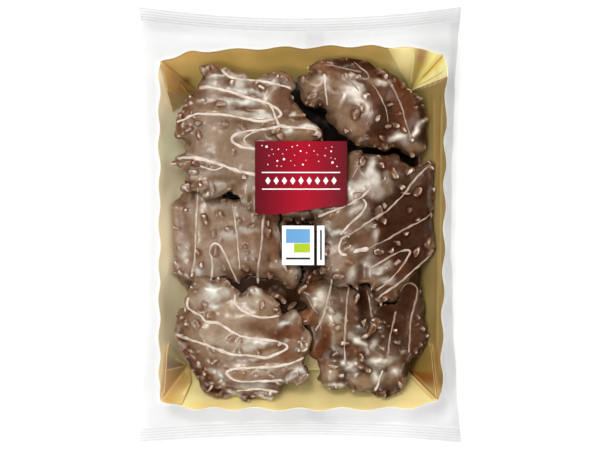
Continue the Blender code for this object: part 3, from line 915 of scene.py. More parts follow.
        (206, 228, 4, 13, 0, "red", 0.25), (250, 220, 10, 9, 0, "red", 0.35),
        (251, 238, 25, 6, 6, "rust", 0.5), (271, 241, 6, 12, 10, "rust", 0.75), (181, 222, 8, 26, 0, "red", 0.22),
        (201, 256, 8, 9, 0, "rust", 0.4), (268, 259, 9, 8, 0, "rust", 0.5), (270, 219, 8, 5, 0, "red", 0.6),
        (240, 252, 12, 8, 0, "rust", 0.35), (247, 273, 10, 5, 0, "red", 0.6),
        (252, 242, 9, 9, 0, "rust", 0.45), (275, 254, 6, 11, 0, "rust", 0.75),
        (270, 222, 8, 5, 0, "rust", 0.7), (227, 248, 6, 6, 0, "rust", 0.4),
        (200, 260, 8, 9, 0, "rust", 0.25), (183, 203, 8, 4, 0, "red", 0.45),
        (192, 196, 3.4, 6, 0, "dark", 0.6), (248, 277, 12, 6, 0, "dark", 0.75),
        (217, 279, 6, 3, 0, "dark", 0.5), (266, 276, 14, 4, 0, "red", 0.5), (222, 198, 22, 3, -8, "dark", 0.5),
        (190, 285, 10, 4, 0, "dark", 0.85),
        (230, 236, 11, 4.4, 0, "haze", 0.45), (224, 206, 12, 4, 0, "haze", 0.28),
        (184, 252, 4.6, 8, 0, "haze", 0.35), (250, 231, 10, 4, 0, "haze", 0.38),
        (198, 272, 5, 5, 0, "haze", 0.45), (245, 258, 9, 6, 0, "haze", 0.30),
        (214, 268, 9, 8, 0, "haze", 0.25), (178, 235, 5, 26, 0, "haze", 0.12),
        (285, 262, 3, 8, 20, "haze", 0.5), (296, 272, 3, 4, 0, "haze", 0.5),
        (175, 265, 3, 8, 0, "haze", 0.5), (182, 276, 7, 2.4, 10, "haze", 0.5),
        (275, 236, 3, 8, 0, "haze", 0.4), (190, 208, 4, 8, 0, "haze", 0.3),
        (231, 235, 6, 1.8, 0, "glare", 0.25), (198, 272, 3, 3, 0, "glare", 0.3),
        (184, 252, 2.2, 5, 0, "glare", 0.2), (285, 260, 1.6, 5, 20, "glare", 0.4),
    ],
    cake_bottom_left=[
        (225, 320, 50, 40, 20, "tan", 0.90), (255, 300, 22, 14, 0, "tan", 0.6),
        (250, 365, 50, 26, 0, "tan", 0.75), (296, 335, 13, 26, 0, "tan", 0.45),
        (187, 316, 8, 7, 0, "red", 0.50), (256, 325, 13, 6, -5, "red", 0.60),
        (277, 335, 10, 8, 0, "red", 0.85), (270, 347, 9, 4, 0, "dark", 0.7),
        (285, 355, 11, 7, -20, "red", 0.75), (236, 360, 5, 5, 0, "red", 0.6),
        (195, 362, 26, 6.5, 62, "red", 0.9), (198, 366, 17, 4.5, 60, "rust", 0.85), (186, 345, 9, 4, 66, "rust", 0.6),
        (286, 332, 7, 13, -15, "red", 0.8), (297, 332, 7, 9, 0, "red", 0.75), (262, 331, 9, 5, 0, "red", 0.5),
        (268, 347, 12, 3.5, 0, "rust", 0.6), (292, 358, 12, 4, -15, "rust", 0.6), (298, 356, 7, 4, 0, "red", 0.5),
        (190, 367, 26, 2.2, 62, "dark", 0.85), (182, 338, 8, 4, 70, "red", 0.7), (206, 376, 5, 9, -35, "rust", 0.5),
        (187, 348, 2.6, 1.6, 30, "haze", 0.8), (192, 357, 3, 1.4, 50, "haze", 0.8), (197, 366, 2.2, 1.6, 0, "haze", 0.7),
        (200, 376, 3, 1.4, 60, "haze", 0.8), (206, 385, 3.4, 1.6, 20, "haze", 0.8), (196, 352, 2, 1.4, 0, "haze", 0.6),
        (262, 383.8, 24, 1.6, 1, "dark", 0.85), (258, 388, 20, 1.5, 3, "haze", 0.6), (250, 392, 24, 1.6, 4, "rust", 0.9),
        (266, 396.4, 11, 1.2, -6, "red", 0.8), (247, 400, 7, 2.6, 0, "dark", 0.9), (278, 385, 4, 5, 0, "rust", 0.7),
        (262, 394.6, 12, 1.5, -3, "haze", 0.5), (226, 387, 12, 1.3, 14, "red", 0.5),
        (240, 373, 9, 3, 5, "rust", 0.55), (268, 371, 6, 4, 0, "red", 0.55),
        (284, 371, 6, 6, 0, "red", 0.5), (229, 381, 6, 4, 20, "dark", 0.5),
        (213, 392, 14, 3.6, 22, "dark", 0.85), (246, 397, 10, 3.6, 0, "dark", 0.8),
        (275, 387, 6, 5, 0, "dark", 0.6), (216, 362, 10, 6, 20, "red", 0.4), (255, 362, 8, 2.6, -8, "red", 0.5),
        (207, 378, 5, 8, -30, "red", 0.55), (290, 342, 5, 10, 20, "rust", 0.6),
        (213, 293, 6, 10, -15, "haze", 0.80), (224, 293, 5, 5, 0, "haze", 0.6),
        (216, 306, 6, 4, 0, "haze", 0.75), (204, 298, 11, 8, 0, "haze", 0.22),
        (253, 291, 6, 3.6, 15, "haze", 0.8), (256, 341, 18, 4.6, 4, "haze", 0.6),
        (246, 348, 11, 3.6, -8, "haze", 0.5), (247, 362, 12, 3.6, -12, "haze", 0.6),
        (284, 323, 6, 3.6, 0, "haze", 0.9), (292, 317, 8, 4, -20, "haze", 0.4),
        (291, 379, 9, 3.4, 0, "haze", 0.75), (301, 374, 6, 6, 0, "haze", 0.35),
        (219, 377, 3.6, 9, -20, "haze", 0.8), (209, 370, 4.4, 3.4, 20, "haze", 0.6),
        (232, 394, 10, 3.6, 5, "haze", 0.7), (258, 385, 18, 2.6, 2, "haze", 0.45),
        (263, 398, 9, 2.2, 0, "haze", 0.75), (262, 374, 14, 4, 0, "haze", 0.25),
        (303, 348, 4, 4, 0, "haze", 0.5), (250, 302, 12, 6, 0, "haze", 0.22),
        (222, 341, 16, 6, 15, "haze", 0.15), (273, 369, 3, 5, -30, "haze", 0.5),
        (183, 345, 5, 3, 40, "haze", 0.5), (179, 330, 3, 6, 0, "haze", 0.4),
        (277, 337, 8, 5, -10, "red", 0.6), (288, 330, 5, 8, 0, "red", 0.6), (264, 350, 12, 2.4, 5, "rust", 0.5),
        (213, 292, 2.6, 5, -15, "glare", 0.35), (216, 306, 3, 2, 0, "glare", 0.4),
        (253, 290, 3.6, 1.6, 15, "glare", 0.6), (258, 341, 10, 1.8, 4, "glare", 0.4),
        (284, 322, 4, 1.6, 0, "glare", 0.7), (219, 377, 1.6, 6, -20, "glare", 0.6),
        (291, 379, 6, 1.6, 0, "glare", 0.6), (263, 398, 6, 1.1, 0, "glare", 0.6),
        (232, 394, 7, 1.5, 5, "glare", 0.5), (247, 361, 8, 1.4, -12, "glare", 0.35),
        (187.4, 322.8, 1.6, 2.6, 0, "glare", 0.6), (195, 325.5, 1.3, 2.2, 0, "glare", 0.6),
        (186.5, 343, 2.4, 1.3, 30, "glare", 0.6), (191, 352, 1.5, 1.1, 40, "glare", 0.7),
        (197.5, 363.5, 1.7, 1.1, 50, "glare", 0.8), (201.5, 373.5, 2.1, 1.1, 60, "glare", 0.9),
        (203.5, 369, 1.2, 0.9, 0, "glare", 0.6), (209.5, 383, 2.2, 1.1, 25, "glare", 0.8),
        (216.5, 387, 1.6, 0.9, 10, "glare", 0.7), (207, 360, 1.3, 1.0, 0, "glare", 0.7),
        (215, 358.5, 1.5, 1.0, 0, "glare", 0.7), (213, 371, 1.3, 2.4, -20, "glare", 0.6),
        (245.5, 397, 2.4, 1.0, 0, "glare", 0.7), (252.5, 399, 2.0, 0.9, 0, "glare", 0.7),
        (271, 399, 2.4, 1.0, -20, "glare", 0.8), (278, 381, 2.6, 1.0, 30, "glare", 0.7),
        (301, 339, 1.6, 1.2, 0, "glare", 0.8), (305, 347, 1.4, 2.6, 0, "glare", 0.8),
        (300, 348, 3.0, 2.4, 0, "haze", 0.7), (283, 323, 3.2, 1.5, 0, "glare", 0.8),
        (298, 373, 8, 5, 0, "haze", 0.6), (299, 372, 4, 1.8, -10, "glare", 0.6),
    ],
    cake_under_top=[
        (423, 160, 6, 11, 0, "rust", 0.55), (421, 150, 5, 5, 0, "tan", 0.25),
    ],
    cake_under_middle=[
        (292, 215, 14, 6, 0, "tan", 0.95), (307, 214, 8, 4, 0, "tan", 0.9),
        (292, 213, 10, 3, 0, "haze", 0.45), (300, 219, 12, 2, 0, "red", 0.5),
        # painted shade: near-black patches where the gaps between the cakes above are deep
        (254, 282, 30, 11, 0, "dark", 0.98), (292, 297, 16, 14, 0, "dark", 0.97), (300, 226, 18, 5, 0, "dark", 0.9),
        (264, 291, 8, 3, 0, "tan", 0.3), (318, 280, 8, 10, 0, "dark", 0.7), (277, 297, 6, 4, 0, "tan", 0.3),
        (312, 276, 8, 6, 0, "rust", 0.5),
    ],
)

CEILINGS = []  # (xs, ys, underside) of the cakes that lie on top of the next ones


def sample(xs, ys, field, x, y, outside):
    """Bilinear read of a field on the grid xs, ys."""
    i = (x - xs[0]) / (xs[1] - xs[0])
    j = (y - ys[0]) / (ys[1] - ys[0])
    ok = (i >= 0) & (i <= len(xs) - 1.001) & (j >= 0) & (j <= len(ys) - 1.001)
    i0 = np.clip(np.floor(i).astype(int), 0, len(xs) - 2)
    j0 = np.clip(np.floor(j).astype(int), 0, len(ys) - 2)
    a, b = i - i0, j - j0
    value = (field[i0, j0] * (1 - a) + field[i0 + 1, j0] * a) * (1 - b) + (
        field[i0, j0 + 1] * (1 - a) + field[i0 + 1, j0 + 1] * a
    ) * b
    return np.where(ok, value, outside)


def chunk(px, py, pz, centre, radius, rng):
    """Signed distance to a chopped nut: a lump with flats, turned at random."""
    a = rng.rand() * 2 * math.pi
    flat = np.array([[math.cos(a), -math.sin(a), 0], [math.sin(a), math.cos(a), 0], [0, 0, 1]])
    q, r = np.linalg.qr(flat + 0.28 * rng.normal(size=(3, 3)))
    q = q * np.sign(np.diag(r))
    size = radius * np.array([rng.uniform(1.1, 1.6), rng.uniform(0.42, 0.85), rng.uniform(0.45, 0.75)])
    rel = np.stack([px - centre[0], py - centre[1], pz - centre[2]], -1) @ q
    k0 = np.sqrt(((rel / size) ** 2).sum(-1))
    k1 = np.sqrt(((rel / size**2) ** 2).sum(-1)) + 1e-9
    d = k0 * (k0 - 1) / k1
    for _ in range(5):
        n = rng.normal(size=3)
        n /= np.linalg.norm(n)
        reach = np.sqrt(((n * size) ** 2).sum())
        d = smax(d, rel @ n - reach * rng.uniform(0.40, 0.75), 0.10 + 0.16 * radius)
    return d


# how much paler or darker each cake's coat is than the general tones
GAINS = dict(
    cake_top_left=(0.95, 0.98, 0.94),
    cake_top_right=(1.04, 0.98, 0.92),
    cake_mid_left=(1.05, 1.11, 1.13),
    cake_mid_right=(0.90, 0.86, 0.81),
    cake_bottom_left=(1.10, 1.18, 1.17),
    cake_bottom_right=(1.06, 1.06, 0.96),
)


def coat_tones(name, x, y, xs, ys, seed):
    """The coat's painted tone and its share (painted highlights, sheen and shade, with some own tones of the coat), how
    much gloss is cut under the painted shade, and how far it stands up.
    """
    tone = np.zeros((*x.shape, 3))
    share, dull, up = np.zeros(x.shape), np.zeros(x.shape), np.zeros(x.shape)
    px, py = x / SCALE + 300.25, 224.5 - y / SCALE
    px = px + 1.5 * noise_field((xs, ys), 4.6, seed + 21) + 0.5 * noise_field((xs, ys), 1.7, seed + 22)
    py = py + 1.3 * noise_field((xs, ys), 4.6, seed + 23) + 0.5 * noise_field((xs, ys), 1.7, seed + 24)
    for cx, cy, rx, ry, turn, kind, part in COATS.get(name, ()):
        a = math.radians(turn)
        u = ((px - cx) * math.cos(a) + (py - cy) * math.sin(a)) / rx
        v = (-(px - cx) * math.sin(a) + (py - cy) * math.cos(a)) / ry
        w = part * np.exp(-((u * u + v * v) ** 1.6))
        tone = tone * (1 - w[..., None]) + np.array(SKINS[kind]) * w[..., None]
        share = 1 - (1 - share) * (1 - w)
        # gloss is cut most under the painted shade, less under the rust tone
        dull = dull * (1 - w) + w * dict(dark=1.0, red=0.8, rust=0.5).get(kind, 0.0)
        up = up * (1 - w) + SUNK[kind] * w
    tone = np.where(share[..., None] > 0.002, tone / (share[..., None] + 1e-6), 0.1)
    tone = tone * np.array(GAINS.get(name, (1, 1, 1)))
    return np.dstack([tone, share]), dull, up


# the tray's inner faces: a floor edge, then how far out the rim lies at either end
TRAY_LOW, TRAY_TALL = 1.1, 22.9
TRAY_FACES = (
    ((197, 91), (412, 89), 21.0, 22.5),
    ((412, 89), (409.5, 371), 18.2, 17.4),
    ((409.5, 371), (187, 365), 20.5, 22.5),
    ((187, 365), (197, 91), 14.9, 20.4),
)


def past_tray(x, y, z):
    """How far a point lies beyond the tray's inner faces, on a grid of x, y and z."""
    v = np.clip((z - TRAY_LOW) / TRAY_TALL, -0.1, 1.3)
    past = None
    for a, b, run_a, run_b in TRAY_FACES:
        (ax, ay), (bx, by) = at(*a), at(*b)
        ex, ey = bx - ax, by - ay
        span = math.hypot(ex, ey)
        out = (-(x - ax) * ey + (y - ay) * ex) / span
        place = np.clip(((x - ax) * ex + (y - ay) * ey) / span**2, 0, 1)
        run = run_a + (run_b - run_a) * place
        here = out[:, :, None] - run[:, :, None] * v - 0.6 - 0.5 * np.sin(np.pi * np.clip(v, 0, 1))
        past = here if past is None else np.maximum(past, here)
    return past


def make_cake(spec):
    rng = np.random.RandomState(spec["seed"])
    seed = spec["seed"]
    cell = CELL * (1.6 if spec.get("plain") else 1.0)
    outline = rounded(path(spec["outline"]), cuts=3)
    low, high = outline.min(0) - 4.5, outline.max(0) + 4.5
    xs = np.arange(low[0], high[0], cell)
    ys = np.arange(low[1], high[1], cell)
    x, y = np.meshgrid(xs, ys, indexing="ij")
    inside = inside_distance(x, y, outline)
    middle = outline.mean(0)

    # the top skin
    gx, gy = spec["tilt"]
    top = spec["top"] + gx * (x - middle[0]) + gy * (y - middle[1])
    thick = spec["thick"]
    bottom = top - thick
    if "ridge" in spec:
        d = beside_line(x, y, rounded(path(spec["ridge"]), closed=False, cuts=3))
        left, right = spec["falls"]
        soft = spec.get("ridge_soft", 2.2)
        # the line runs away from the reader, so its left is the shaded side
        d = -d
        fall = np.where(d > 0, left, right) * (np.sqrt(d * d + soft * soft) - soft)
        top = top - fall
        bottom = bottom - 0.25 * fall
    top = top - 2.2 * (1 - smoothstep(0, 16, inside))
    if "steep" in spec:
        line, width, slope = spec["steep"]
        d = np.abs(beside_line(x, y, rounded(path(line), closed=False, cuts=3)))
        top = top - slope * np.clip(width - d, 0, None) * smoothstep(0, width, width - d) ** 0.5
    for bx, by, rx, ry, turn, up in spec["bumps"]:
        cx, cy = at(bx, by)
        a = math.radians(turn)
        u = ((x - cx) * math.cos(a) + (y - cy) * math.sin(a)) / (rx * SCALE)
        v = (-(x - cx) * math.sin(a) + (y - cy) * math.cos(a)) / (ry * SCALE)
        top = top + up * np.exp(-(u * u + v * v))
    skin_tone, dull, up = coat_tones(spec["name"], x, y, xs, ys, seed)
    top = top + up
    rough = spec.get("rough", 1.0) * (1 + 1.1 * (1 - smoothstep(0, 7, inside)))
    swell = spec.get("swell", 1.0)
    top = top + 0.42 * swell * noise_field((xs, ys), 13.0, seed + 1)
    top = top + 0.22 * rough * noise_field((xs, ys), 6.4, seed + 8)
    top = top + 0.075 * rough * noise_field((xs, ys), 3.2, seed + 2)
    top = top + 0.03 * rough * noise_field((xs, ys), 1.9, seed + 3)
    ceiling = np.full(x.shape, 99.0)
    for cxs, cys, under in CEILINGS:
        ceiling = np.minimum(ceiling, sample(cxs, cys, under, x, y, 99.0))
    top = smin(top, ceiling - 0.9, 1.2)
    bottom = np.maximum(bottom, 1.6)
    top = np.maximum(top, bottom + 2.5)
    bottom = bottom + 0.35 * noise_field((xs, ys), 6.0, seed + 4)
    CEILINGS.append((xs, ys, np.where(inside > -1.2, bottom, 99.0)))

    # the volume
    z_low = max(bottom[inside > -2].min() - 2.5, 0.9)
    z_high = top[inside > -2].max() + 4.5
    zs = np.arange(z_low, z_high, cell)
    shape = (len(xs), len(ys), len(zs))
    z = zs[None, None, :]
    lump = (
        0.55 * noise_field((xs, ys, zs), 6.5, seed + 5)
        + 0.50 * noise_field((xs, ys, zs), 3.0, seed + 6)
        + 0.26 * noise_field((xs, ys, zs), 1.7, seed + 7)
    )
    mid = ((top + bottom) / 2)[:, :, None]
    half = ((top - bottom) / 2)[:, :, None]
    bulge = 1.1 * (1 - np.clip((z - mid) / half, -1, 1) ** 2) - 0.5
    side = -(inside[:, :, None] + bulge + lump * 0.8)
    gy2, gx2 = np.gradient(top, cell)[1], np.gradient(top, cell)[0]
    lean = 1 / np.sqrt(1 + np.clip(gx2 * gx2 + gy2 * gy2, 0, 3))[:, :, None]
    over = (z - top[:, :, None]) * lean
    below = bottom[:, :, None] - z
    f = smax(smax(over, side, 4.4), below, 3.0) + 0.10 * lump
    near_nut = np.full(shape, 9.0, np.float32)
    bare = np.zeros(shape, np.float32)
    nuts = [(at(px, py), r * SCALE * 1.52) for px, py, r in spec["nuts"]]
    spots = []
    # further chopped nuts, on the flanks and here and there on the top
    ring = rounded(path(spec["outline"]), cuts=4)
    for _ in range(0 if spec.get("plain") else 60):
        p = ring[rng.randint(len(ring))]
        inward = middle - p
        inward /= np.linalg.norm(inward)
        spots.append((p + inward * rng.uniform(-0.2, 1.8), 0.7 + 2.0 * rng.rand() ** 1.7, rng.uniform(0.15, 0.92)))
    for _ in range(0 if spec.get("plain") else spec.get("sprinkle", 14)):
        p = low + (high - low) * rng.rand(2)
        spots.append((p, rng.uniform(0.6, 1.3), 1.0))
    if "steep" in spec:
        line = rounded(path(spec["steep"][0]), closed=False, cuts=8)
        for _ in range(34):
            p = line[rng.randint(len(line))] + rng.normal(size=2) * 2.6
            spots.append((p, rng.uniform(1.0, 1.9), 1.0))

    def add(centre_xy, radius, share, show=None):
        nonlocal f
        show = 0.7 * rng.rand() ** 2.2 if show is None else show
        i = int(np.clip((centre_xy[0] - xs[0]) / cell, 0, len(xs) - 1))
        j = int(np.clip((centre_xy[1] - ys[0]) / cell, 0, len(ys) - 1))
        if share >= 1.0:
            column = f[i, j]
            solid = np.nonzero(column < 0)[0]
            if not len(solid):
                return
            cz = zs[solid[-1]] + radius * rng.uniform(0.15, 0.50)
        else:
            cz = bottom[i, j] + (top[i, j] - bottom[i, j]) * share
        reach = radius + 2.6
        lo = [
            max(int((c - reach - o) / cell), 0)
            for c, o in zip((*centre_xy, cz), (xs[0], ys[0], zs[0]))
        ]
        hi = [int((c + reach - o) / cell) + 2 for c, o in zip((*centre_xy, cz), (xs[0], ys[0], zs[0]))]
        sl = tuple(slice(a, b) for a, b in zip(lo, hi))
        bx, by, bz = np.meshgrid(xs[sl[0]], ys[sl[1]], zs[sl[2]], indexing="ij")
        if not bx.size:
            return
        d = chunk(bx, by, bz, (*centre_xy, cz), radius, rng)
        f[sl] = smin(f[sl], d - 0.08, 1.0)
        bare[sl] = np.where(d < near_nut[sl], show, bare[sl])
        near_nut[sl] = np.minimum(near_nut[sl], d)

    for centre_xy, radius in nuts:
        add(centre_xy, radius * rng.uniform(0.7, 1.35), 1.0, 0.95 * rng.uniform(0.0, 1.0) ** 1.5)
    for centre_xy, radius, share in spots:
        add(centre_xy, radius, share)
    f = smax(f, past_tray(x, y, z), 0.7)
    f = np.maximum(f, zs[0] + cell * 0.6 - z)
    f[0], f[-1], f[:, 0], f[:, -1], f[:, :, 0], f[:, :, -1] = (9.0,) * 6

    points, quads, cells = surface_of(f, (xs[0], ys[0], zs[0]), cell)
    points = smoothed(points, quads, 2)
    skin = {"dark": DARK, "dim": DIM, "deep": DEEP_SHADE}.get(spec.get("skin"), CHOCOLATE)
    obj = mesh_object(spec["name"], points, quads, skin)
    hollow, crest = hollows(points, quads)
    set_attribute(obj, "hollow", hollow)
    set_attribute(obj, "crest", crest)
    layer = obj.data.attributes.new("skin", "FLOAT_COLOR", "POINT")
    tones_here = skin_tone[cells[:, 0], cells[:, 1]].astype(np.float32)
    layer.data.foreach_set("color", tones_here.ravel())
    set_attribute(obj, "dull", dull[cells[:, 0], cells[:, 1]])
    near = near_nut[cells[:, 0], cells[:, 1], cells[:, 2]]
    set_attribute(obj, "nut", 1 - smoothstep(0.10, 0.60, near))
    set_attribute(obj, "bare", bare[cells[:, 0], cells[:, 1], cells[:, 2]])
    # rim: a ring round each nut, which the coat paints as shade at the nut's foot
    set_attribute(obj, "rim", smoothstep(0.35, 0.8, near) * (1 - smoothstep(0.8, 2.2, near)))
    thin_field = smoothstep(0.6, 1.8, noise_field((xs, ys, zs), 7.0, seed + 9))
    set_attribute(obj, "thin", 0.6 * thin_field[cells[:, 0], cells[:, 1], cells[:, 2]])
    return obj


CAKES = [make_cake(spec) for spec in (TL, TR, MR, BL, ML, BR, UNDER_A, UNDER_B)]


def tree_of(objects):
    """One search tree over the meshes, in millimetres."""
    points, faces, base = [], [], 0
    for obj in objects:
        n = len(obj.data.vertices)
        co = np.empty(n * 3)
        obj.data.vertices.foreach_get("co", co)
        points.append(co.reshape(-1, 3) / MM)
        faces += [[base + v for v in p.vertices] for p in obj.data.polygons]
        base += n
    return BVHTree.FromPolygons(np.concatenate(points).tolist(), faces)


SKY = Vector((0, 0, -1))
CAKE_TREE = tree_of(CAKES)


def drop(tree, x, y, start=60.0):
    """Where a plumb line first meets the tree: height and slope, or None."""
    where, normal, _, _ = tree.ray_cast(Vector((x, y, start)), SKY)
    return (where.z, normal) if where else (None, None)


# ---------------------------------------------------------------------------
# Drizzle
# ---------------------------------------------------------------------------

# width in layout units, how far it is darkened as painted shade, then the points of the line
DRIZZLE = [
    # top left cake
    (2.61, 0, (199, 88), (210, 87.5), (230, 92), (250, 98.5), (268, 103.5), (279, 111), (281, 115), (277, 118)),
    (1.98, 0, (268, 103), (272, 108), (274, 114), (277, 121), (280, 127)),
    (2.25, 0, (176, 122.5), (185, 119), (192, 115.5), (202, 114), (228, 115.5), (248, 119.5), (262, 121.5), (275, 119)),
    (2.25, 0, (221, 69), (228, 76), (238, 79), (262, 81.5), (283, 86), (292, 89)),
    (2.43, 0, (281, 126), (268, 129), (246, 131.5), (237, 134), (232, 138), (234, 143), (242, 147), (256, 149.5), (262, 151)),
    (1.35, 0, (262, 129.5), (250, 134), (244, 139), (246, 143)),
    (2.7, 0, (277, 125.5), (290, 127.5), (304, 128), (314, 129.5), (320, 134), (318, 138)),
    (3.06, 0, (177, 158.5), (187, 157.5), (198, 158.5), (217, 163.5), (235, 170), (254, 174.5), (270, 176), (290, 177)),
    (1.44, 0, (200, 166), (214, 170), (224, 166)),
    # top right cake
    (1.8, 0.1, (324, 74), (325, 84), (326, 95), (327.5, 106)),
    (1.71, 1, (387, 79), (393, 88), (398, 98), (402, 108), (405, 119), (408, 130), (411, 139)),
    (1.4, 0.9, (350, 72), (357, 76), (364, 79), (369, 78), (367, 73), (361, 68), (354, 62)),
    (1.26, 1, (344, 77), (352, 83), (359, 91)),
    (1.35, 1, (324, 65), (336, 66.5), (348, 69.5), (361, 72)),
    (1.17, 1, (372, 84), (380, 96), (386, 110), (388, 122)),
    # middle right cake
    (1.9, 0.3, (318, 217), (326, 213.5), (335, 210), (348, 205), (356, 200), (363, 196), (372, 186)),
    (2.0, 0.25, (362, 199), (366, 203), (365, 208), (360, 215), (352, 222), (346, 228), (340, 235)),
    (1.8, 0.65, (340, 239.5), (348, 235), (357, 230), (366, 223.5), (374, 218.5), (386, 211.5), (395, 203), (404, 194), (412, 183), (421, 173), (431, 164)),
    (3.78, 0, (353, 252.5), (358, 250.5), (364, 249.5), (369, 249.5)),
    (1.6, 0.85, (367, 249.8), (376, 244.5), (387, 239.5), (403, 230), (412, 225.5), (421, 221), (434, 212)),
    (2.16, 0, (342, 239), (339.5, 244), (339, 250), (342, 254), (347, 255)),
    (1.8, 0.7, (370, 268.5), (379, 263), (388, 257.5), (397, 253), (405, 250), (410, 251.5), (408, 257), (402, 266), (393, 277), (385, 284), (376, 291)),
    (1.9, 0.6, (378, 298), (386, 292), (395, 286), (403, 280), (411, 272.5), (421, 264), (432, 254)),
    (1.26, 1, (352, 178), (358, 168), (366, 160)),
    # middle left cake
    (1.44, 1, (170, 203), (171, 215), (172, 228), (174, 240)),
    (1.8, 0.4, (198, 188), (197, 205), (196, 222), (195, 248), (194, 264), (191, 273)),
    (1.5, 0.4, (232, 203), (234, 214), (236, 228), (238, 248), (239, 262), (240, 270)),
    (2.0, 0.45, (265, 209), (263, 222), (262, 240), (260, 256), (258, 268), (258, 284)),
    (1.8, 0.2, (211, 281), (212, 270), (212, 259), (209.5, 252.5), (211, 246), (215, 243.5), (220, 246), (224, 253), (229, 264), (233, 273), (237, 282)),
    (1.26, 1, (277, 226), (280, 238), (281, 250)),
    # bottom left cake
    (2.34, 0, (189, 297), (187, 303), (189, 308.5), (194, 312), (201, 316), (206, 321.5), (218, 323), (231, 331), (246, 337.5), (267, 340), (280, 342), (287, 346), (284, 350.5), (271, 356), (262, 359)),
    (2.52, 0, (175, 334), (187, 338.5), (201, 343), (220, 350), (231, 354), (250, 355.5), (268, 358)),
    (2.25, 0, (235, 294), (235, 303), (240, 308.5), (248, 313), (256, 316.5), (266, 317.5), (279, 315.5)),
    (2.25, 0, (304, 357.5), (296, 361), (288, 364), (270, 367), (250, 367.5), (234, 369), (227, 372), (230, 377), (239, 381), (262, 381), (283, 380)),
    (1.8, 0, (236, 391), (246, 390), (257, 389), (268, 390), (278, 392)),
   
    # bottom right cake
    (1.8, 0.5, (332, 279), (330, 290), (327, 302), (324, 313), (321, 322), (315, 331)),
    (1.7, 0.65, (349, 286), (347, 300), (346, 315), (345, 331), (344.5, 345), (345, 361)),
    (1.8, 1, (396, 311), (394, 321), (391, 332), (389, 345), (387, 359)),
    (1.8, 1, (400, 291), (405, 285), (412, 283.5), (417, 288), (417, 297), (414, 308), (411, 320), (410, 336), (409, 353)),
    (1.8, 0, (383, 370), (380, 377), (378, 384), (375, 391)),
    (1.35, 1, (306, 296), (312, 306), (318, 314)),
    (1.35, 1, (367, 290), (370, 304), (372, 318)),
]


def ribbon(line, width, seed):
    """Points and faces of one poured line, lying on the cakes."""
    rng = np.random.RandomState(seed)
    flat = rounded(path(line), closed=False, cuts=8)
    steps = np.r_[0, np.cumsum(np.hypot(*np.diff(flat, axis=0).T))]
    count = max(int(steps[-1] / 0.55), 6)
    along = np.linspace(0, steps[-1], count + 1)
    flat = np.stack([np.interp(along, steps, flat[:, k]) for k in (0, 1)], 1)
    sway = [np.sin(along / 2.1 + rng.rand() * 6) + np.sin(along / 0.9 + rng.rand() * 6) for _ in (0, 1)]
    flat += 0.07 * np.stack(sway, 1)
    heights, slopes = [], []
    for x, y in flat:
        z, n = drop(CAKE_TREE, x, y)
        heights.append(z)
        slopes.append(n)
    known = [k for k, z in enumerate(heights) if z is not None]
    if len(known) < 4:
        return None
    # past an edge the line runs down the side and stops
    keep = range(known[0], known[-1] + 1)
    flat = flat[keep.start : keep.stop]
    z = np.array([np.nan if heights[k] is None else heights[k] for k in keep])
    n = np.array([(0, 0, 1) if slopes[k] is None else tuple(slopes[k]) for k in keep])
    good = ~np.isnan(z)
    z = np.interp(np.arange(len(z)), np.nonzero(good)[0], z[good])
    raw = z.copy()
    for _ in range(3):
        z[1:-1] = np.maximum(
            (z[:-2] + 2 * z[1:-1] + z[2:]) / 4, raw[1:-1] - 0.1
        )
        n[1:-1] = (n[:-2] + 2 * n[1:-1] + n[2:]) / 4
    n /= np.linalg.norm(n, axis=1)[:, None]
    spots = np.column_stack([flat, z])
    tangent = np.gradient(spots, axis=0)
    tangent /= np.linalg.norm(tangent, axis=1)[:, None]
    across = np.cross(n, tangent)
    across /= np.linalg.norm(across, axis=1)[:, None] + 1e-9
    up = np.cross(tangent, across)
    s = np.arange(len(spots)) * 0.55
    wide = 1.12 * width * SCALE / 2 * (
        1
        + 0.20 * np.sin(s / 4.1 + rng.rand() * 6)
        + 0.15 * np.sin(s / 1.7 + rng.rand() * 6)
        + 0.10 * np.sin(s / 0.83 + rng.rand() * 6)
        + 0.10 * rng.normal(size=len(s))
    )
    for _ in range(2):
        wide[1:-1] = (wide[:-2] + 2 * wide[1:-1] + wide[2:]) / 4
    end = np.minimum(s, s[-1] - s)
    wide *= np.sqrt(np.clip(end / (0.9 * width * SCALE), 0.02, 1)) 
    tall = wide * 0.62
    sides = 10
    points, faces = [], []
    for k in range(len(spots)):
        for m in range(sides):
            a = 2 * math.pi * m / sides
            points.append(
                spots[k]
                + across[k] * math.cos(a) * wide[k]
                + up[k] * (math.sin(a) * tall[k] + 0.05 * tall[k])
            )
    for k in range(len(spots) - 1):
        for m in range(sides):
            a, b = k * sides + m, k * sides + (m + 1) % sides
            faces.append((a, a + sides, b + sides, b))
    faces.append(tuple(range(sides)))
    last = (len(spots) - 1) * sides
    faces.append(tuple(range(last + sides - 1, last - 1, -1)))
    return points, faces


def make_drizzle():
    points, faces, dull = [], [], []
    for seed, (width, shade, *line) in enumerate(DRIZZLE):
        made = ribbon(line, width, 400 + seed)
        if made is None:
            continue
        base = len(points)
        points += made[0]
        faces += [[v + base for v in face] for face in made[1]]
        turns = np.repeat(np.arange(len(made[0]) // 10), 10)
        # the painted shade rises and falls along each line
        dull += list(np.clip(shade + 0.16 * np.sin(turns / 5.3 + seed) + 0.12 * np.sin(turns / 2.1 + 2 * seed), 0, 1))
    obj = mesh_object("drizzle", points, faces, PALE)
    set_attribute(obj, "dull", dull)
    return obj


DRIZZLED = make_drizzle()


# ---------------------------------------------------------------------------
# Tray
# ---------------------------------------------------------------------------

BASE_Z, RIM_Z, CARD = 1.1, 24.0, 0.40
FLOOR_SCALE = (4000 - BASE_Z) / (4000 - RIM_Z)  # layout units are at the rim's height


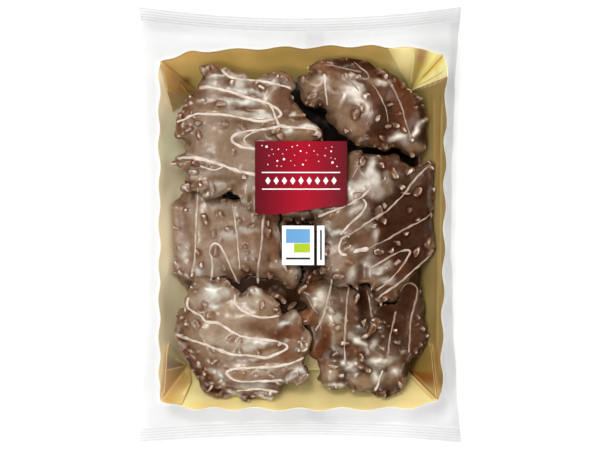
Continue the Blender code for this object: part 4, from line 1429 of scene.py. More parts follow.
def low_at(x, y):
    """A layout point that lies on the tray's floor."""
    px, py = at(x, y)
    return np.array((px * FLOOR_SCALE, py * FLOOR_SCALE, BASE_Z))


def rim_at(x, y, z=RIM_Z):
    return np.array((*at(x, y), z))


def wave(t, crests, troughs):
    """A scallop that is 1 at the crests and -1 at the troughs."""
    marks = sorted([(c, 0) for c in crests] + [(c, 1) for c in troughs])
    turns, value = [], 0.0
    for k, (_, kind) in enumerate(marks):
        if k:
            value += 0.5 if marks[k - 1][1] != kind else 1.0
        turns.append(value + (0.5 if marks[0][1] else 0.0))
    first, last = marks[0][0], marks[-1][0]
    phase = np.interp(t, [m[0] for m in marks], turns)
    phase = phase + np.where(t < first, (t - first) / 45.0, 0) + np.where(t > last, (t - last) / 45.0, 0)
    return np.cos(2 * np.pi * phase)


def rim_side(side, count):
    """The rim from one corner's tip to the next, as layout x, y and the scallop."""
    if side == "top":
        x = np.linspace(160.5, 443, count)
        y = np.interp(
            x,
            [160, 165, 170, 180, 190, 210, 250, 300, 350, 400, 430, 443],
            [61.5, 60, 58.2, 55, 52.6, 51, 49, 47.5, 46.2, 47, 51, 55],
        )
        s = wave(x, (190, 236, 285, 330, 372, 412), (175, 208, 260, 305, 350, 390, 430))
        y = y - 1.3 * s * smoothstep(160, 172, x) * (1 - smoothstep(432, 443, x))
    elif side == "right":
        y = np.linspace(55, 400, count)
        x = np.interp(y, [55, 62, 70, 130, 206, 300, 350, 392, 400], [443, 445.5, 446, 445, 444.5, 442.8, 441.8, 441.8, 438])
        s = wave(y, (76, 124, 164, 206, 250, 293, 336, 378), (94, 140, 184, 228, 272, 314, 358))
        x = x + 1.4 * s * smoothstep(58, 72, y) * (1 - smoothstep(388, 399, y))
    elif side == "bottom":
        x = np.linspace(438, 160.5, count)
        y = np.interp(x, [160, 165, 175, 200, 300, 400, 420, 431, 438], [400.5, 403, 406, 408.5, 409, 408, 405.5, 402.5, 400])
        s = wave(x, (195, 233, 278, 320, 365, 410), (175, 213, 255, 300, 341, 390))
        y = y + 1.6 * s * smoothstep(162, 176, x) * (1 - smoothstep(422, 436, x))
    else:
        y = np.linspace(400.5, 61.5, count)
        x = np.full(count, 159.4) + 0.9 * (smoothstep(70, 61, y) + smoothstep(392, 400, y))
        s = wave(y, (75, 111, 147, 185, 225, 265, 300, 337, 374), (93, 129, 166, 205, 245, 283, 319, 356, 388))
        x = x - 1.0 * s * smoothstep(64, 75, y) * (1 - smoothstep(388, 398, y))
    return x, y, s


LOW = dict(tl=(197, 91), tr=(412, 89), br=(409.5, 371), bl=(187, 365))
SIDES = (("top", "tl", "tr"), ("right", "tr", "br"), ("bottom", "br", "bl"), ("left", "bl", "tl"))


def wall_points(side, a, b, count, rows):
    """A grid of points up one wall, base row first."""
    x, y, s = rim_side(side, count)
    start, stop = low_at(*LOW[a]), low_at(*LOW[b])
    t = np.linspace(0, 1, count)
    along = np.column_stack([x, y])
    run = np.r_[0, np.cumsum(np.hypot(*np.diff(along, axis=0).T))]
    t = run / run[-1]
    base = start + (stop - start) * t[:, None]
    inward = np.array((0, 0, 0.0)) - (start + stop) / 2
    inward[2] = 0
    inward /= np.linalg.norm(inward)
    base = base - inward * (0.9 * np.sin(np.pi * t) ** 0.7)[:, None]
    rim = np.column_stack([*[v for v in zip(*[at(px, py) for px, py in along])], RIM_Z - 0.6 + 0.9 * s])
    v = np.linspace(0, 1, rows) ** 0.9
    grid = base[None] + (rim - base)[None] * v[:, None, None]
    # the card springs back: it leans out a little more low down than near its rim
    sag = np.sin(np.pi * v)[:, None] * (0.9 * np.sin(np.pi * t) ** 0.5)[None]
    grid[..., 2] -= sag
    grid[..., :2] -= inward[:2] * sag[..., None] * 0.8
    ripple = noise_field((v * 24, t * run[-1] * SCALE), 14.0, 700 + len(side))
    grid += (0.16 * ripple * np.sin(np.pi * t)[None] ** 0.3)[..., None] * (inward * 0.7 + np.array((0, 0, 0.7)))
    return grid


def sheet(grid, name, thick=CARD, material=None, smooth=True):
    """A card sheet from a grid of points: its upper face where given, its back below."""
    grid = np.asarray(grid, float)
    rows, cols = grid.shape[:2]
    du, dv = np.gradient(grid, axis=1), np.gradient(grid, axis=0)
    normal = np.cross(du, dv)
    normal /= np.linalg.norm(normal, axis=2)[..., None] + 1e-12
    normal *= np.where(normal[..., 2:] < 0, -1, 1)
    back = grid - normal * thick
    points = np.concatenate([grid.reshape(-1, 3), back.reshape(-1, 3)])
    n = rows * cols
    i = lambda r, c: r * cols + c
    faces = []
    for r in range(rows - 1):
        for c in range(cols - 1):
            q = (i(r, c), i(r, c + 1), i(r + 1, c + 1), i(r + 1, c))
            faces.append(q)
            faces.append(tuple(v + n for v in q[::-1]))
    border = (
        [i(0, c) for c in range(cols)]
        + [i(r, cols - 1) for r in range(1, rows)]
        + [i(rows - 1, c) for c in range(cols - 2, -1, -1)]
        + [i(r, 0) for r in range(rows - 2, 0, -1)]
    )
    for a, b in zip(border, border[1:] + border[:1]):
        faces.append((b, a, a + n, b + n))
    return points, faces


def foil(r, g, b, gain=1.5):
    """The card's colour that shows as this screen colour on a lit slope."""
    v = np.array((r, g, b)) / 255
    v = np.where(v < 0.04045, v / 12.92, ((v + 0.055) / 1.055) ** 2.4) * gain
    return v / max(1.0, v.max())


# painted light and shade on the satin foil: each wall's colour at its base, half way and at its rim, lighter or darker
# by how the room's light falls on it
WALL_TONES = {
    "top": (foil(150, 135, 80), foil(176, 146, 80, 1.66), foil(176, 144, 80, 1.66)),
    "right": (foil(112, 96, 48, 1.29), foil(138, 117, 72, 1.29), foil(150, 126, 76, 1.29)),
    "bottom": (foil(206, 187, 128, 2.3), foil(212, 192, 132, 1.7), foil(218, 198, 136, 1.65)),
    "left": (foil(204, 188, 150, 2.3), foil(212, 198, 166, 2.3), foil(210, 196, 164, 2.3)),
}
FLOOR_TONE = foil(205, 182, 118, 1.62)
BACK_TONE = (0.84, 0.84, 0.83)
# darker and brighter patches on the creased foil, painted shade and painted highlights where its crumples lie in shade
# and catch the light: layout x, y, radii, turn, colour, strength
PATCHES = (
    # upper left
    (187, 81, 6, 5, 20, foil(108, 68, 24), 0.9),
    (189, 90, 5, 5, 0, foil(120, 88, 34), 0.8),
    (182, 86, 3, 7, 30, foil(132, 92, 34), 0.6),
    (172, 80, 6, 12, 0, foil(172, 128, 72, 1.35), 0.8),
    (166, 66, 8, 5, 0, foil(172, 132, 76, 1.35), 0.6),
    (190, 56, 7, 3, 0, foil(182, 134, 72), 0.6),
    (196, 84, 4, 8, 0, foil(134, 118, 56), 0.6),
    # lower left
    (178, 386, 9, 12, 25, foil(172, 138, 88, 1.3), 0.5),
    (174, 397, 9, 5, 0, foil(178, 138, 48), 0.6),
    (176, 356, 9, 5, 25, foil(182, 168, 122, 1.65), 0.7),
    (200, 396, 18, 9, 0, foil(224, 214, 152, 1.79), 0.7),
    (205, 405, 16, 4, 0, foil(224, 196, 118, 1.72), 0.6),
    # right wall
    (437, 150, 2.0, 60, 0, foil(152, 116, 64), 0.6),
    (430, 110, 3.5, 14, 0, foil(128, 104, 48), 0.6),
    (434, 330, 3.0, 22, 0, foil(112, 90, 36), 0.7),
    (441, 384, 3.0, 12, 0, foil(92, 62, 26), 0.8),
    (437, 360, 2.4, 16, 0, foil(128, 94, 42), 0.8),
    # upper right
    (402, 62, 11, 13, 10, foil(216, 202, 142, 1.72), 0.85),
    (398, 76, 9, 7, 0, foil(180, 166, 116, 1.58), 0.6),
    (386, 60, 5, 10, 30, foil(176, 150, 88, 1.58), 0.5),
    (421, 58, 4.5, 8, 12, foil(142, 98, 54), 0.85),
    (420, 65, 4, 4, 0, foil(160, 134, 44), 0.6),
    (414, 78, 4, 9, 10, foil(160, 136, 76), 0.6),
    (435, 66, 4, 4, -45, foil(222, 188, 96, 1.65), 0.6),
    # lower right
    (430, 392, 16, 8, 0, foil(214, 206, 138, 1.72), 0.4),
)
# creases, painted: bright lines are painted highlights on the fold edges, partly the pale cut edge of the card, and
# dark lines are painted shade in the folds. Columns: half width in layout units, millimetres up, colour, strength, then
# the points
CREASES = (
    (0.7, 0.10, foil(236, 200, 134, 1.86), 0.95, (410, 374), (420, 383.5), (430, 393), (436.5, 399)),
    (0.6, -0.12, foil(126, 80, 24), 0.9, (411, 372.5), (421, 382.5), (431, 392.5), (437, 398.5)),
    (0.9, 0.0, foil(168, 132, 62), 0.8, (409.5, 376), (418, 384.5), (428, 394.5), (434, 400)),
    (0.5, 0.10, foil(186, 138, 84), 0.8, (413, 372.5), (423, 382), (430, 389), (436.5, 396.5)),
    (1.1, 0.0, foil(186, 164, 104, 1.7), 0.95, (429.5, 343.5), (432, 346), (433, 355), (434.2, 366), (434.8, 372)),
    (1.1, 0.0, foil(196, 156, 108, 1.7), 0.95, (434.8, 371), (435.3, 380), (436.4, 388), (437, 397)),
    (0.5, 0.0, foil(160, 118, 76, 1.50), 0.7, (436.8, 376), (438.4, 388), (438.2, 396)),
    (0.6, 0.10, foil(212, 176, 122, 1.72), 0.85, (181, 375.5), (177, 381), (172, 387), (167, 394), (163, 400)),
    (0.6, 0.10, foil(208, 170, 114, 1.72), 0.8, (178, 377), (173, 383), (169, 390), (164.5, 397)),
    (0.4, -0.08, foil(158, 118, 66), 0.7, (179.5, 376.5), (174.5, 383), (170, 389), (164, 397.5)),
    (0.8, 0.10, foil(226, 204, 156, 1.79), 0.9, (175, 358), (180, 361), (186, 364.5)),
    (0.7, 0.10, foil(210, 174, 124, 1.72), 0.9, (166.5, 370.5), (173, 369), (179, 367.5), (184.5, 366)),
    (1.0, 0.0, foil(120, 98, 40), 0.7, (179, 364.5), (184, 366)),
    (0.6, 0.05, foil(222, 196, 140, 1.72), 0.8, (185, 372), (188.5, 369.5)),
    (0.5, 0.05, foil(206, 180, 110, 1.65), 0.6, (186, 374.5), (190, 371.5)),
    (1.6, 0.05, foil(226, 198, 122, 1.79), 0.8, (190, 384), (187, 389), (183, 395)),
    (0.8, 0.0, foil(112, 78, 28), 0.8, (180, 81), (184, 86), (189, 93)),
    (0.6, 0.0, foil(196, 148, 84), 0.6, (181, 84), (185, 90), (188, 94)),
    (0.8, 0.08, foil(186, 146, 88, 1.50), 0.5, (167, 88.5), (172, 92), (176, 94)),
    (1.2, 0.14, foil(238, 220, 168, 1.86), 0.95, (414, 89), (424, 86), (433, 83), (441, 79), (447, 75.5)),
    (0.5, -0.06, foil(170, 140, 66), 0.8, (415, 86.5), (425, 82), (436, 76), (444, 71)),
    (0.5, -0.10, foil(128, 100, 38), 0.9, (422, 78), (429, 71), (436, 63), (443, 55.5)),
    (0.6, 0.06, foil(214, 178, 84, 1.65), 0.8, (423, 79), (430, 72), (437, 65), (443.5, 58)),
    (0.5, 0.06, foil(220, 188, 100, 1.65), 0.7, (421, 76), (428, 69), (434, 62), (440, 56)),
    (0.8, 0.08, foil(226, 210, 140, 1.72), 0.7, (411, 84), (412, 72), (413.5, 60), (413, 52)),
    (0.5, 0.0, foil(150, 122, 60), 0.7, (414.5, 70), (415, 60), (416, 52)),
    (0.5, 0.0, foil(176, 150, 84), 0.6, (426, 66), (427, 58), (427, 52)),
    (0.9, 0.0, foil(176, 154, 100, 1.43), 0.7, (442.5, 96), (441.5, 130), (441, 180), (440.5, 240), (440, 300)),
    (0.6, 0.0, foil(122, 96, 44), 0.7, (440.6, 90), (439.6, 120), (439, 160), (438.6, 200)),
    (0.7, 0.0, foil(172, 148, 92, 1.43), 0.6, (434, 96), (434.5, 130), (434, 170), (434.5, 210)),
    (0.6, 0.0, foil(118, 92, 40), 0.6, (431.5, 92), (431.8, 120), (431.4, 150)),
    (0.8, 0.0, foil(170, 146, 92, 1.43), 0.7, (438.4, 250), (438, 290), (437.6, 330), (438, 350)),
    (0.6, 0.0, foil(116, 90, 38), 0.6, (436, 255), (435.6, 290), (435.2, 330)),
)


def tones(low, middle, high, v):
    """Three colours blended by v from 0 to 1."""
    v = np.asarray(v)[..., None]
    a = np.array(low) * (1 - 2 * v) + np.array(middle) * 2 * v
    b = np.array(middle) * (2 - 2 * v) + np.array(high) * (2 * v - 1)
    return np.where(v < 0.5, a, b)


def along_line(x, y, line):
    """Distance to an open line, and the place along it from 0 to 1."""
    line = np.array(line, float)
    spans = np.hypot(*np.diff(line, axis=0).T)
    best = np.full(x.shape, 1e9)
    place = np.zeros(x.shape)
    run = 0.0
    for (ax, ay), (bx, by), span in zip(line[:-1], line[1:], spans):
        ex, ey = bx - ax, by - ay
        t = np.clip(((x - ax) * ex + (y - ay) * ey) / (span * span), 0, 1)
        d = (x - ax - t * ex) ** 2 + (y - ay - t * ey) ** 2
        nearer = d < best
        best = np.where(nearer, d, best)
        place = np.where(nearer, (run + t * span) / spans.sum(), place)
        run += span
    return np.sqrt(best), place


def creased(grid, tone):
    """The card's grid and tones with its patches and creases."""
    far = (4000 - RIM_Z) / (4000 - grid[..., 2])
    x = grid[..., 0] * far / SCALE + 300.25
    y = 224.5 - grid[..., 1] * far / SCALE
    tone = np.broadcast_to(tone, grid.shape).copy()
    for px, py, rx, ry, turn, color, strength in PATCHES:
        a = math.radians(turn)
        u = ((x - px) * math.cos(a) + (y - py) * math.sin(a)) / rx
        v = (-(x - px) * math.sin(a) + (y - py) * math.cos(a)) / ry
        share = strength * np.exp(-(u * u + v * v))
        tone = tone * (1 - share[..., None]) + np.array(color) * share[..., None]
    up = np.zeros(x.shape)
    for width, height, color, strength, *line in CREASES:
        d, place = along_line(x, y, line)
        share = np.exp(-((d / width) ** 2)) * smoothstep(0, 0.08, place) ** 0.5 * smoothstep(1, 0.92, place) ** 0.5
        up += height * share
        share = strength * share
        tone = tone * (1 - share[..., None]) + np.array(color) * share[..., None]
    du, dv = np.gradient(grid, axis=1), np.gradient(grid, axis=0)
    normal = np.cross(du, dv)
    normal /= np.linalg.norm(normal, axis=2)[..., None] + 1e-12
    normal *= np.where(normal[..., 2:] < 0, -1, 1)
    return grid + normal * up[..., None], np.clip(tone, 0, 1)


def card_mesh(name, sheets, behind=BACK_TONE):
    points, faces, colors = [], [], []
    for grid, tone, *shine in sheets:
        grid, tone = creased(np.asarray(grid, float), tone)
        p, f = sheet(grid, "", CARD)
        base = len(points)
        points.extend(p)
        faces.extend([v + base for v in face] for face in f)
        bright = np.broadcast_to(shine[0] if shine else 0.5, grid.shape[:2]).reshape(-1)
        front = np.column_stack([tone.reshape(-1, 3), bright])
        back = np.tile((*behind, 0.0), (len(p) // 2, 1))
        colors.append(np.concatenate([front, back]))
    obj = mesh_object(name, points, faces, GOLD)
    set_tone(obj, np.concatenate(colors))
    bm = bmesh.new()
    bm.from_mesh(obj.data)
    bmesh.ops.recalc_face_normals(bm, faces=bm.faces)
    bm.to_mesh(obj.data)
    bm.free()
    obj.data.set_sharp_from_angle(angle=math.radians(40))
    return obj


def make_tray():
    sheets = []
    for side, a, b in SIDES:
        count, rows = (130, 56) if side == "right" else (190, 22)
        grid = wall_points(side, a, b, count, rows)
        v = np.repeat(np.linspace(0, 1, rows)[:, None], count, 1)
        tone = tones(*WALL_TONES[side], v)
        streak = noise_field((np.linspace(0, 30, rows), np.linspace(0, 200, count)), 9.0, 900 + len(side))
        tone = tone * (1 + 0.05 * streak[..., None])
        if side == "top":
            # the cut edge shows as a thin dull line
            tone = tone * (1 - 0.45 * smoothstep(0.955, 0.99, v)[..., None])
        sheets.append((grid, tone))
    c = {k: low_at(*v) for k, v in LOW.items()}
    u = np.linspace(0, 1, 40)[None, :, None]
    v = np.linspace(0, 1, 50)[:, None, None]
    floor = (c["tl"] * (1 - u) + c["tr"] * u) * (1 - v) + (c["bl"] * (1 - u) + c["br"] * u) * v
    bow = 1.05
    floor[..., 1] += (bow * np.sin(np.pi * u[..., 0]) ** 0.7) * (1 - 2 * v[..., 0])
    floor[..., 0] -= (bow * np.sin(np.pi * v[..., 0]) ** 0.7) * (1 - 2 * u[..., 0])
    sheets.append((floor, FLOOR_TONE, 1.0 - 0.42 * smoothstep(0.86, 1.0, v[..., 0] + 0 * u[..., 0])))
    return card_mesh("tray", sheets)


def spot(x, y, z):
    return (*at(x, y), z)


def resampled(line, count):
    line = np.array(line, float)
    run = np.r_[0, np.cumsum(np.linalg.norm(np.diff(line, axis=0), axis=1))]
    t = np.linspace(0, run[-1], count)
    return np.stack([np.interp(t, run, line[:, k]) for k in range(3)], -1)


def fan(corner, rays, proud=0.45, lift=0.6, along=60, across=60):
    """A corner of card folded over, as rays from its low corner.

    Each ray is (place 0..1, tone near the corner, tone at the end, points after the corner).
    """
    places = [r[0] for r in rays]
    lines = np.array([resampled([corner, *r[3:]], along) for r in rays])
    near = np.array([r[1] for r in rays])
    far = np.array([r[2] for r in rays])
    t = np.linspace(0, 1, across)
    # move from ray to ray
    grid = np.stack(
        [[np.interp(t, places, lines[:, i, k]) for k in range(3)] for i in range(along)]
    ).transpose(0, 2, 1)
    s = np.linspace(0.0, 1, along)[:, None, None]
    s = 0.02 + 0.98 * s
    grid[0] = (grid[0] + grid[1]) / 2
    near = np.stack([np.interp(t, places, near[:, k]) for k in range(3)], -1)
    far = np.stack([np.interp(t, places, far[:, k]) for k in range(3)], -1)
    tone = near[None] * (1 - s) + far[None] * s
    du, dv = np.gradient(grid, axis=1), np.gradient(grid, axis=0)
    normal = np.cross(du, dv)
    normal /= np.linalg.norm(normal, axis=2)[..., None] + 1e-12
    normal *= np.where(normal[..., 2:] < 0, -1, 1)
    mean = normal[along // 3 :].reshape(-1, 3).mean(0)
    mean /= np.linalg.norm(mean)
    up = proud + lift * s[..., 0] ** 1.4 * np.sin(np.pi * t)[None] ** 0.8
    return grid + mean * up[..., None], tone


def make_folds():
    br, bl = spot(409.5, 371, 1.7), spot(187, 364.5, 1.7)
    tl, tr = spot(197, 91, 1.7), spot(412, 89.5, 1.7)
    f = foil
    # the tones along each fold's rays are painted light and shade of the creased foil
    sheets = [
        # lower right: doubled over on the right wall
        fan(br, [
            (0.0, f(96, 52, 14), f(98, 54, 18), spot(437, 399, 23.6)),
            (0.30, f(108, 60, 16), f(112, 64, 22), spot(436.4, 386, 21.6)),
            (0.46, f(118, 74, 22), f(122, 72, 28), spot(435.2, 376, 20.6)),
            (0.55, f(112, 90, 34), f(132, 106, 50), spot(434.6, 370, 20.2)),
            (0.80, f(104, 86, 36), f(124, 100, 52), spot(433.2, 355, 19.0)),
            (1.0, f(96, 80, 38), f(120, 96, 52), spot(430, 343.5, 16.8)),
        ], lift=0.9),
        # lower left: doubled over on the left wall and part of the front one
        fan(bl, [
            (0.0, f(164, 146, 104, 1.45), f(188, 172, 134, 1.6), spot(168, 343, 17.6)),
            (0.22, f(168, 150, 108, 1.45), f(180, 160, 130, 1.5), spot(166.2, 352, 19.6)),
            (0.30, f(146, 124, 88), f(158, 136, 120, 1.3), spot(165.8, 357, 20.2)),
            (0.44, f(134, 112, 74), f(152, 128, 112, 1.3), spot(165.3, 368, 21.2)),
            (0.50, f(156, 128, 74), f(176, 140, 102, 1.3), spot(165.0, 373, 21.6)),
            (0.72, f(158, 128, 74), f(180, 144, 102, 1.35), spot(163.4, 391, 23.0)),
            (0.80, f(160, 128, 68), f(182, 144, 92, 1.35), spot(161.3, 400, 23.8)),
            (0.90, f(156, 128, 62), f(180, 142, 72, 1.3), spot(180, 381, 11.6), spot(170, 402.4, 23.4)),
            (1.0, f(166, 144, 80), f(190, 160, 88, 1.4), spot(189.5, 374, 6.8), spot(190.3, 382, 11.0), spot(186, 392, 17.0), spot(181, 404.0, 23.2)),
        ], lift=0.4, along=64, across=110),
        # upper left: the back wall's end laid over the left one, and the card under it
        fan(tl, [
            (0.0, f(140, 122, 58), f(150, 134, 88, 1.50), spot(172, 111, 15.0)),
            (0.5, f(126, 104, 52), f(146, 124, 86, 1.50), spot(169.3, 103, 17.2)),
            (1.0, f(110, 84, 40), f(130, 102, 70, 1.50), spot(166, 90, 18.8)),
        ], proud=0.45, lift=0.3, along=40, across=24),
        fan(tl, [
            (0.0, f(150, 118, 54), f(170, 130, 74, 1.35), spot(186, 96, 5.6), spot(176, 95.6, 11.6), spot(166.8, 91.5, 18.4)),
            (0.35, f(146, 112, 48), f(172, 132, 76, 1.35), spot(178, 88, 13.0), spot(165, 82, 20.2)),
            (0.75, f(150, 118, 54), f(174, 136, 76, 1.40), spot(162.6, 70, 22.8)),
            (1.0, f(156, 130, 66), f(176, 142, 78, 1.45), spot(160.8, 61.8, 23.9)),
        ], proud=0.75, lift=0.3),
        # upper right: opened out between the two walls
        fan(tr, [
            (0.0, f(214, 190, 128, 1.62), f(238, 222, 172, 1.74), spot(447.5, 75.8, 24.3)),
            (0.07, f(206, 190, 122, 1.62), f(222, 218, 160, 1.68), spot(447.6, 70, 24.4)),
            (0.15, f(206, 196, 124, 1.62), f(216, 214, 154, 1.68), spot(446.8, 63, 24.4)),
            (0.22, f(204, 190, 110, 1.62), f(220, 206, 132, 1.68), spot(445, 58, 24.4)),
            (0.27, f(196, 170, 86, 1.50), f(186, 160, 78, 1.50), spot(443, 55, 24.4)),
            (0.34, f(206, 184, 104, 1.62), f(214, 206, 132, 1.62), spot(437, 52.6, 24.2)),
            (0.42, f(190, 160, 82, 1.50), f(196, 186, 106, 1.56), spot(431, 50.6, 24.0)),
            (0.48, f(160, 128, 62), f(150, 130, 56), spot(426.5, 49.3, 23.9)),
            (0.55, f(156, 124, 62), f(146, 118, 56), spot(421, 48.0, 23.8)),
            (0.61, f(164, 138, 74), f(168, 144, 76), spot(417, 47.4, 23.7)),
            (0.67, f(176, 156, 92, 1.43), f(200, 186, 116, 1.56), spot(412.5, 46.9, 23.7)),
            (0.80, f(178, 158, 98, 1.43), f(212, 198, 138, 1.62), spot(404, 46.9, 23.6)),
            (0.92, f(172, 152, 92, 1.43), f(198, 176, 108, 1.56), spot(396, 47.6, 23.4)),
            (1.0, f(160, 142, 84, 1.43), f(178, 148, 84, 1.56), spot(389, 48.6, 23.2)),
        ], proud=0.75, lift=0.25, along=70, across=130),
    ]
    return card_mesh("tray_folds", sheets, foil(200, 168, 112, 1.5))


TRAY = make_tray()
FOLDS = make_folds()


# ---------------------------------------------------------------------------
# Film
# ---------------------------------------------------------------------------

# as in the part: millimetres
LENGTH, END_WIDE, WAIST_WIDE = 240.4, 177.4, 166.6
HEAD_BOW, FOOT_BOW = 6.3, 3.8
CRIMP_DEEP, RIDGES, RIDGE_HIGH, CRIMP_Z = 7.4, 5, 0.2, 10.0
LEFT, RIGHT, FOOT, HEAD = -77.2, 80.0, -100.8, 97.2
WALL_RUN, SIDE_Z = 18.5, 16.5


def drawn_film():
    """The film's height over the tray: held at the rim, pushed up by the cakes."""
    pitch = 1.0
    xs = np.arange(LEFT - 1.0, RIGHT + 1.01, pitch)
    ys = np.arange(FOOT - 1.0, HEAD + 1.01, pitch)
    high = tree_of(CAKES + [DRIZZLED])
    under = np.zeros((len(xs), len(ys)))
    for i, x in enumerate(xs):
        for j, y in enumerate(ys):
            z, _ = drop(high, x, y)
            if z is not None:
                under[i, j] = z + 0.25
    # film bridges what is narrower than a few millimetres
    grown = under.copy()
    for di in (-1, 0, 1):
        for dj in (-1, 0, 1):
            grown = np.maximum(grown, np.roll(under, (di, dj), (0, 1)))
    under = grown
    rim = RIM_Z + 0.5
    z = np.maximum(under, rim)
    z[0] = z[-1] = rim
    z[:, 0] = z[:, -1] = rim
    for n in range(900):
        inner = (z[:-2, 1:-1] + z[2:, 1:-1] + z[1:-1, :-2] + z[1:-1, 2:]) / 4
        z[1:-1, 1:-1] = np.maximum(inner, under[1:-1, 1:-1])
    # soften the pinched peaks, never into a cake
    for _ in range(5):
        blur = z.copy()
        blur[1:-1, 1:-1] = (z[:-2, 1:-1] + z[2:, 1:-1] + z[1:-1, :-2] + z[1:-1, 2:] + 4 * z[1:-1, 1:-1]) / 8
        z = np.maximum(blur, under)
    return xs, ys, z


FILM_X, FILM_Y, FILM_Z = drawn_film()


def film_height(x, y):
    x = np.clip(x, FILM_X[0], FILM_X[-1] - 1e-3)
    y = np.clip(y, FILM_Y[0], FILM_Y[-1] - 1e-3)
    return sample(FILM_X, FILM_Y, FILM_Z, np.asarray(x, float), np.asarray(y, float), RIM_Z + 0.5)


def half_width(y):
    return WAIST_WIDE / 2 + (END_WIDE - WAIST_WIDE) / 2 * (np.abs(y) / (LENGTH / 2)) ** 2


def make_film():
    cuts = ((88, 8, 12, 12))
    stretch = np.concatenate([np.full(n, k) for k, n in enumerate(cuts)] + [[3]])
    t = np.concatenate([np.arange(n) / n for n in cuts] + [[1.0]])
    crimp_foot, crimp_head = -LENGTH / 2 + CRIMP_DEEP, LENGTH / 2 - CRIMP_DEEP
    per = 6
    ends = np.linspace(0, CRIMP_DEEP, RIDGES * per + 1)
    middle = np.linspace(crimp_foot, crimp_head, 190)
    ys = np.r_[-LENGTH / 2 + ends[:-1], middle, crimp_head + ends[1:]]
    rows = []
    for y in ys:
        over = smoothstep(crimp_foot + 3.5, FOOT - 0.6, y) * (1 - smoothstep(HEAD + 0.6, crimp_head - 3.5, y))
        under = smoothstep(crimp_foot, FOOT + WALL_RUN, y) * (1 - smoothstep(HEAD - WALL_RUN, crimp_head, y))
        bow = HEAD_BOW * smoothstep(70, 108, y) - FOOT_BOW * smoothstep(70, 110, -y)
        from_tip = (LENGTH / 2 - abs(y)) / CRIMP_DEEP
        ridge = RIDGE_HIGH * math.cos(math.pi * from_tip * 2 * RIDGES) if from_tip < 1 + 1e-6 else 0.0
        wide, half = half_width(y), 0.12
        ring = []
        for side in (1, -1):
            rim = abs(RIGHT if side > 0 else LEFT)
            base = rim - WALL_RUN
            top_x = rim * np.sin(t * np.pi / 2) ** 0.9
            a = t * np.pi / 2
            bx = np.select(
                [stretch == 0, stretch == 1, stretch == 2],
                [top_x, rim + (wide - rim) * np.sin(a), wide + (base - wide) * (t * t * (1.9 - 0.9 * t))],
                base * (1 - t),
            )
            bz = np.select(
                [stretch == 0, stretch == 1, stretch == 2],
                [film_height(side * top_x, np.full(len(t), y)), SIDE_Z + (RIM_Z + 0.5 - SIDE_Z) * np.cos(a), 0.3 + (SIDE_Z - 0.3) * (1 - t) ** 1.35],
                0.3,
            )
            cx = np.select(
                [stretch == 0, stretch == 1, stretch == 2],
                [0.90 * wide * np.sin(a) ** 0.9, wide * (0.90 + 0.10 * t), wide * (1 - 0.30 * t)],
                wide * 0.70 * (1 - t),
            )
            cz = np.select(
                [stretch == 0, stretch == 1, stretch == 2],
                [CRIMP_Z + half, CRIMP_Z + half * (1 - t**4) ** 0.5, CRIMP_Z - half * (1 - (1 - t) ** 4) ** 0.5],
                CRIMP_Z - half,
            )
            share = np.select(
                [stretch == 0, stretch == 1, stretch == 2],
                [over, over + (under - over) * t * 0.5, (over + under) / 2 + (under - (over + under) / 2) * t],
                under,
            )
            x, z = cx + (bx - cx) * share, cz + (bz - cz) * share
            u = np.minimum(x / wide, 1.0)
            ring.append(np.column_stack([side * x, y + bow * (u * u - 1), z + ridge]))
        right, left = ring
        rows.append(np.concatenate([right, left[-2:0:-1]]))
    grid = np.array(rows)

    # creases: long ones fanning from the four corners, and soft slack along the sides
    x, y, z = grid[..., 0], grid[..., 1], grid[..., 2]
    du, dv = np.gradient(grid, axis=1), np.gradient(grid, axis=0)
    normal = np.cross(du, dv)
    normal /= np.linalg.norm(normal, axis=2)[..., None] + 1e-9
    middle_z = 11.0
    outward = np.stack([x / 90, y * 0, (z - middle_z) / 12], -1)
    flip = np.sign((normal * outward).sum(-1) + 1e-9)
    flip = np.sign(np.median(flip)) if abs(np.median(flip)) > 0 else 1
    normal = normal * flip
    move = np.zeros(x.shape)
    rng = np.random.RandomState(5)
    for sx in (-1, 1):
        for sy in (-1, 1):
            cx, cy = sx * 88.0, sy * 120.0
            dx, dy = (cx - x) * sx, (cy - y) * sy
            r = np.hypot(dx, dy)
            a = np.arctan2(dy, dx)
            fan = np.zeros(x.shape)
            for _ in range(7):
                fan += np.sin(a * rng.uniform(9, 34) + rng.rand() * 6.3) * rng.uniform(0.3, 1.0)
            strength = smoothstep(7, 16, r) * (1 - smoothstep(22, 52, r))
            move += 0.16 * fan * strength
    loose = smoothstep(LEFT + 1, LEFT - 4, x) + smoothstep(RIGHT - 1, RIGHT + 4, x)
    soft = np.sin(y / 7.3 + 0.4 * np.sin(y / 3.1)) + 0.6 * np.sin(y / 3.9 + 1.3 + x * 0.02)
    inner = (np.abs(y) < 104) & (z > 3)
    move += 0.22 * soft * loose * inner
    body = smoothstep(LENGTH / 2 - CRIMP_DEEP, LENGTH / 2 - CRIMP_DEEP - 6, np.abs(y))
    grid = grid + normal * (move * body)[..., None]
    grid[..., 2] = np.maximum(grid[..., 2], 0.12)

    n, m = grid.shape[:2]
    points = grid.reshape(-1, 3)
    faces = [
        (r * m + k, r * m + (k + 1) % m, (r + 1) * m + (k + 1) % m, (r + 1) * m + k)
        for r in range(n - 1)
        for k in range(m)
    ]
    film = mesh_object("film", points, faces, FILM)
    band = (LENGTH / 2 - np.abs(np.repeat(ys, m))) / CRIMP_DEEP
    set_attribute(film, "seal", (band < 1.01).astype(float))
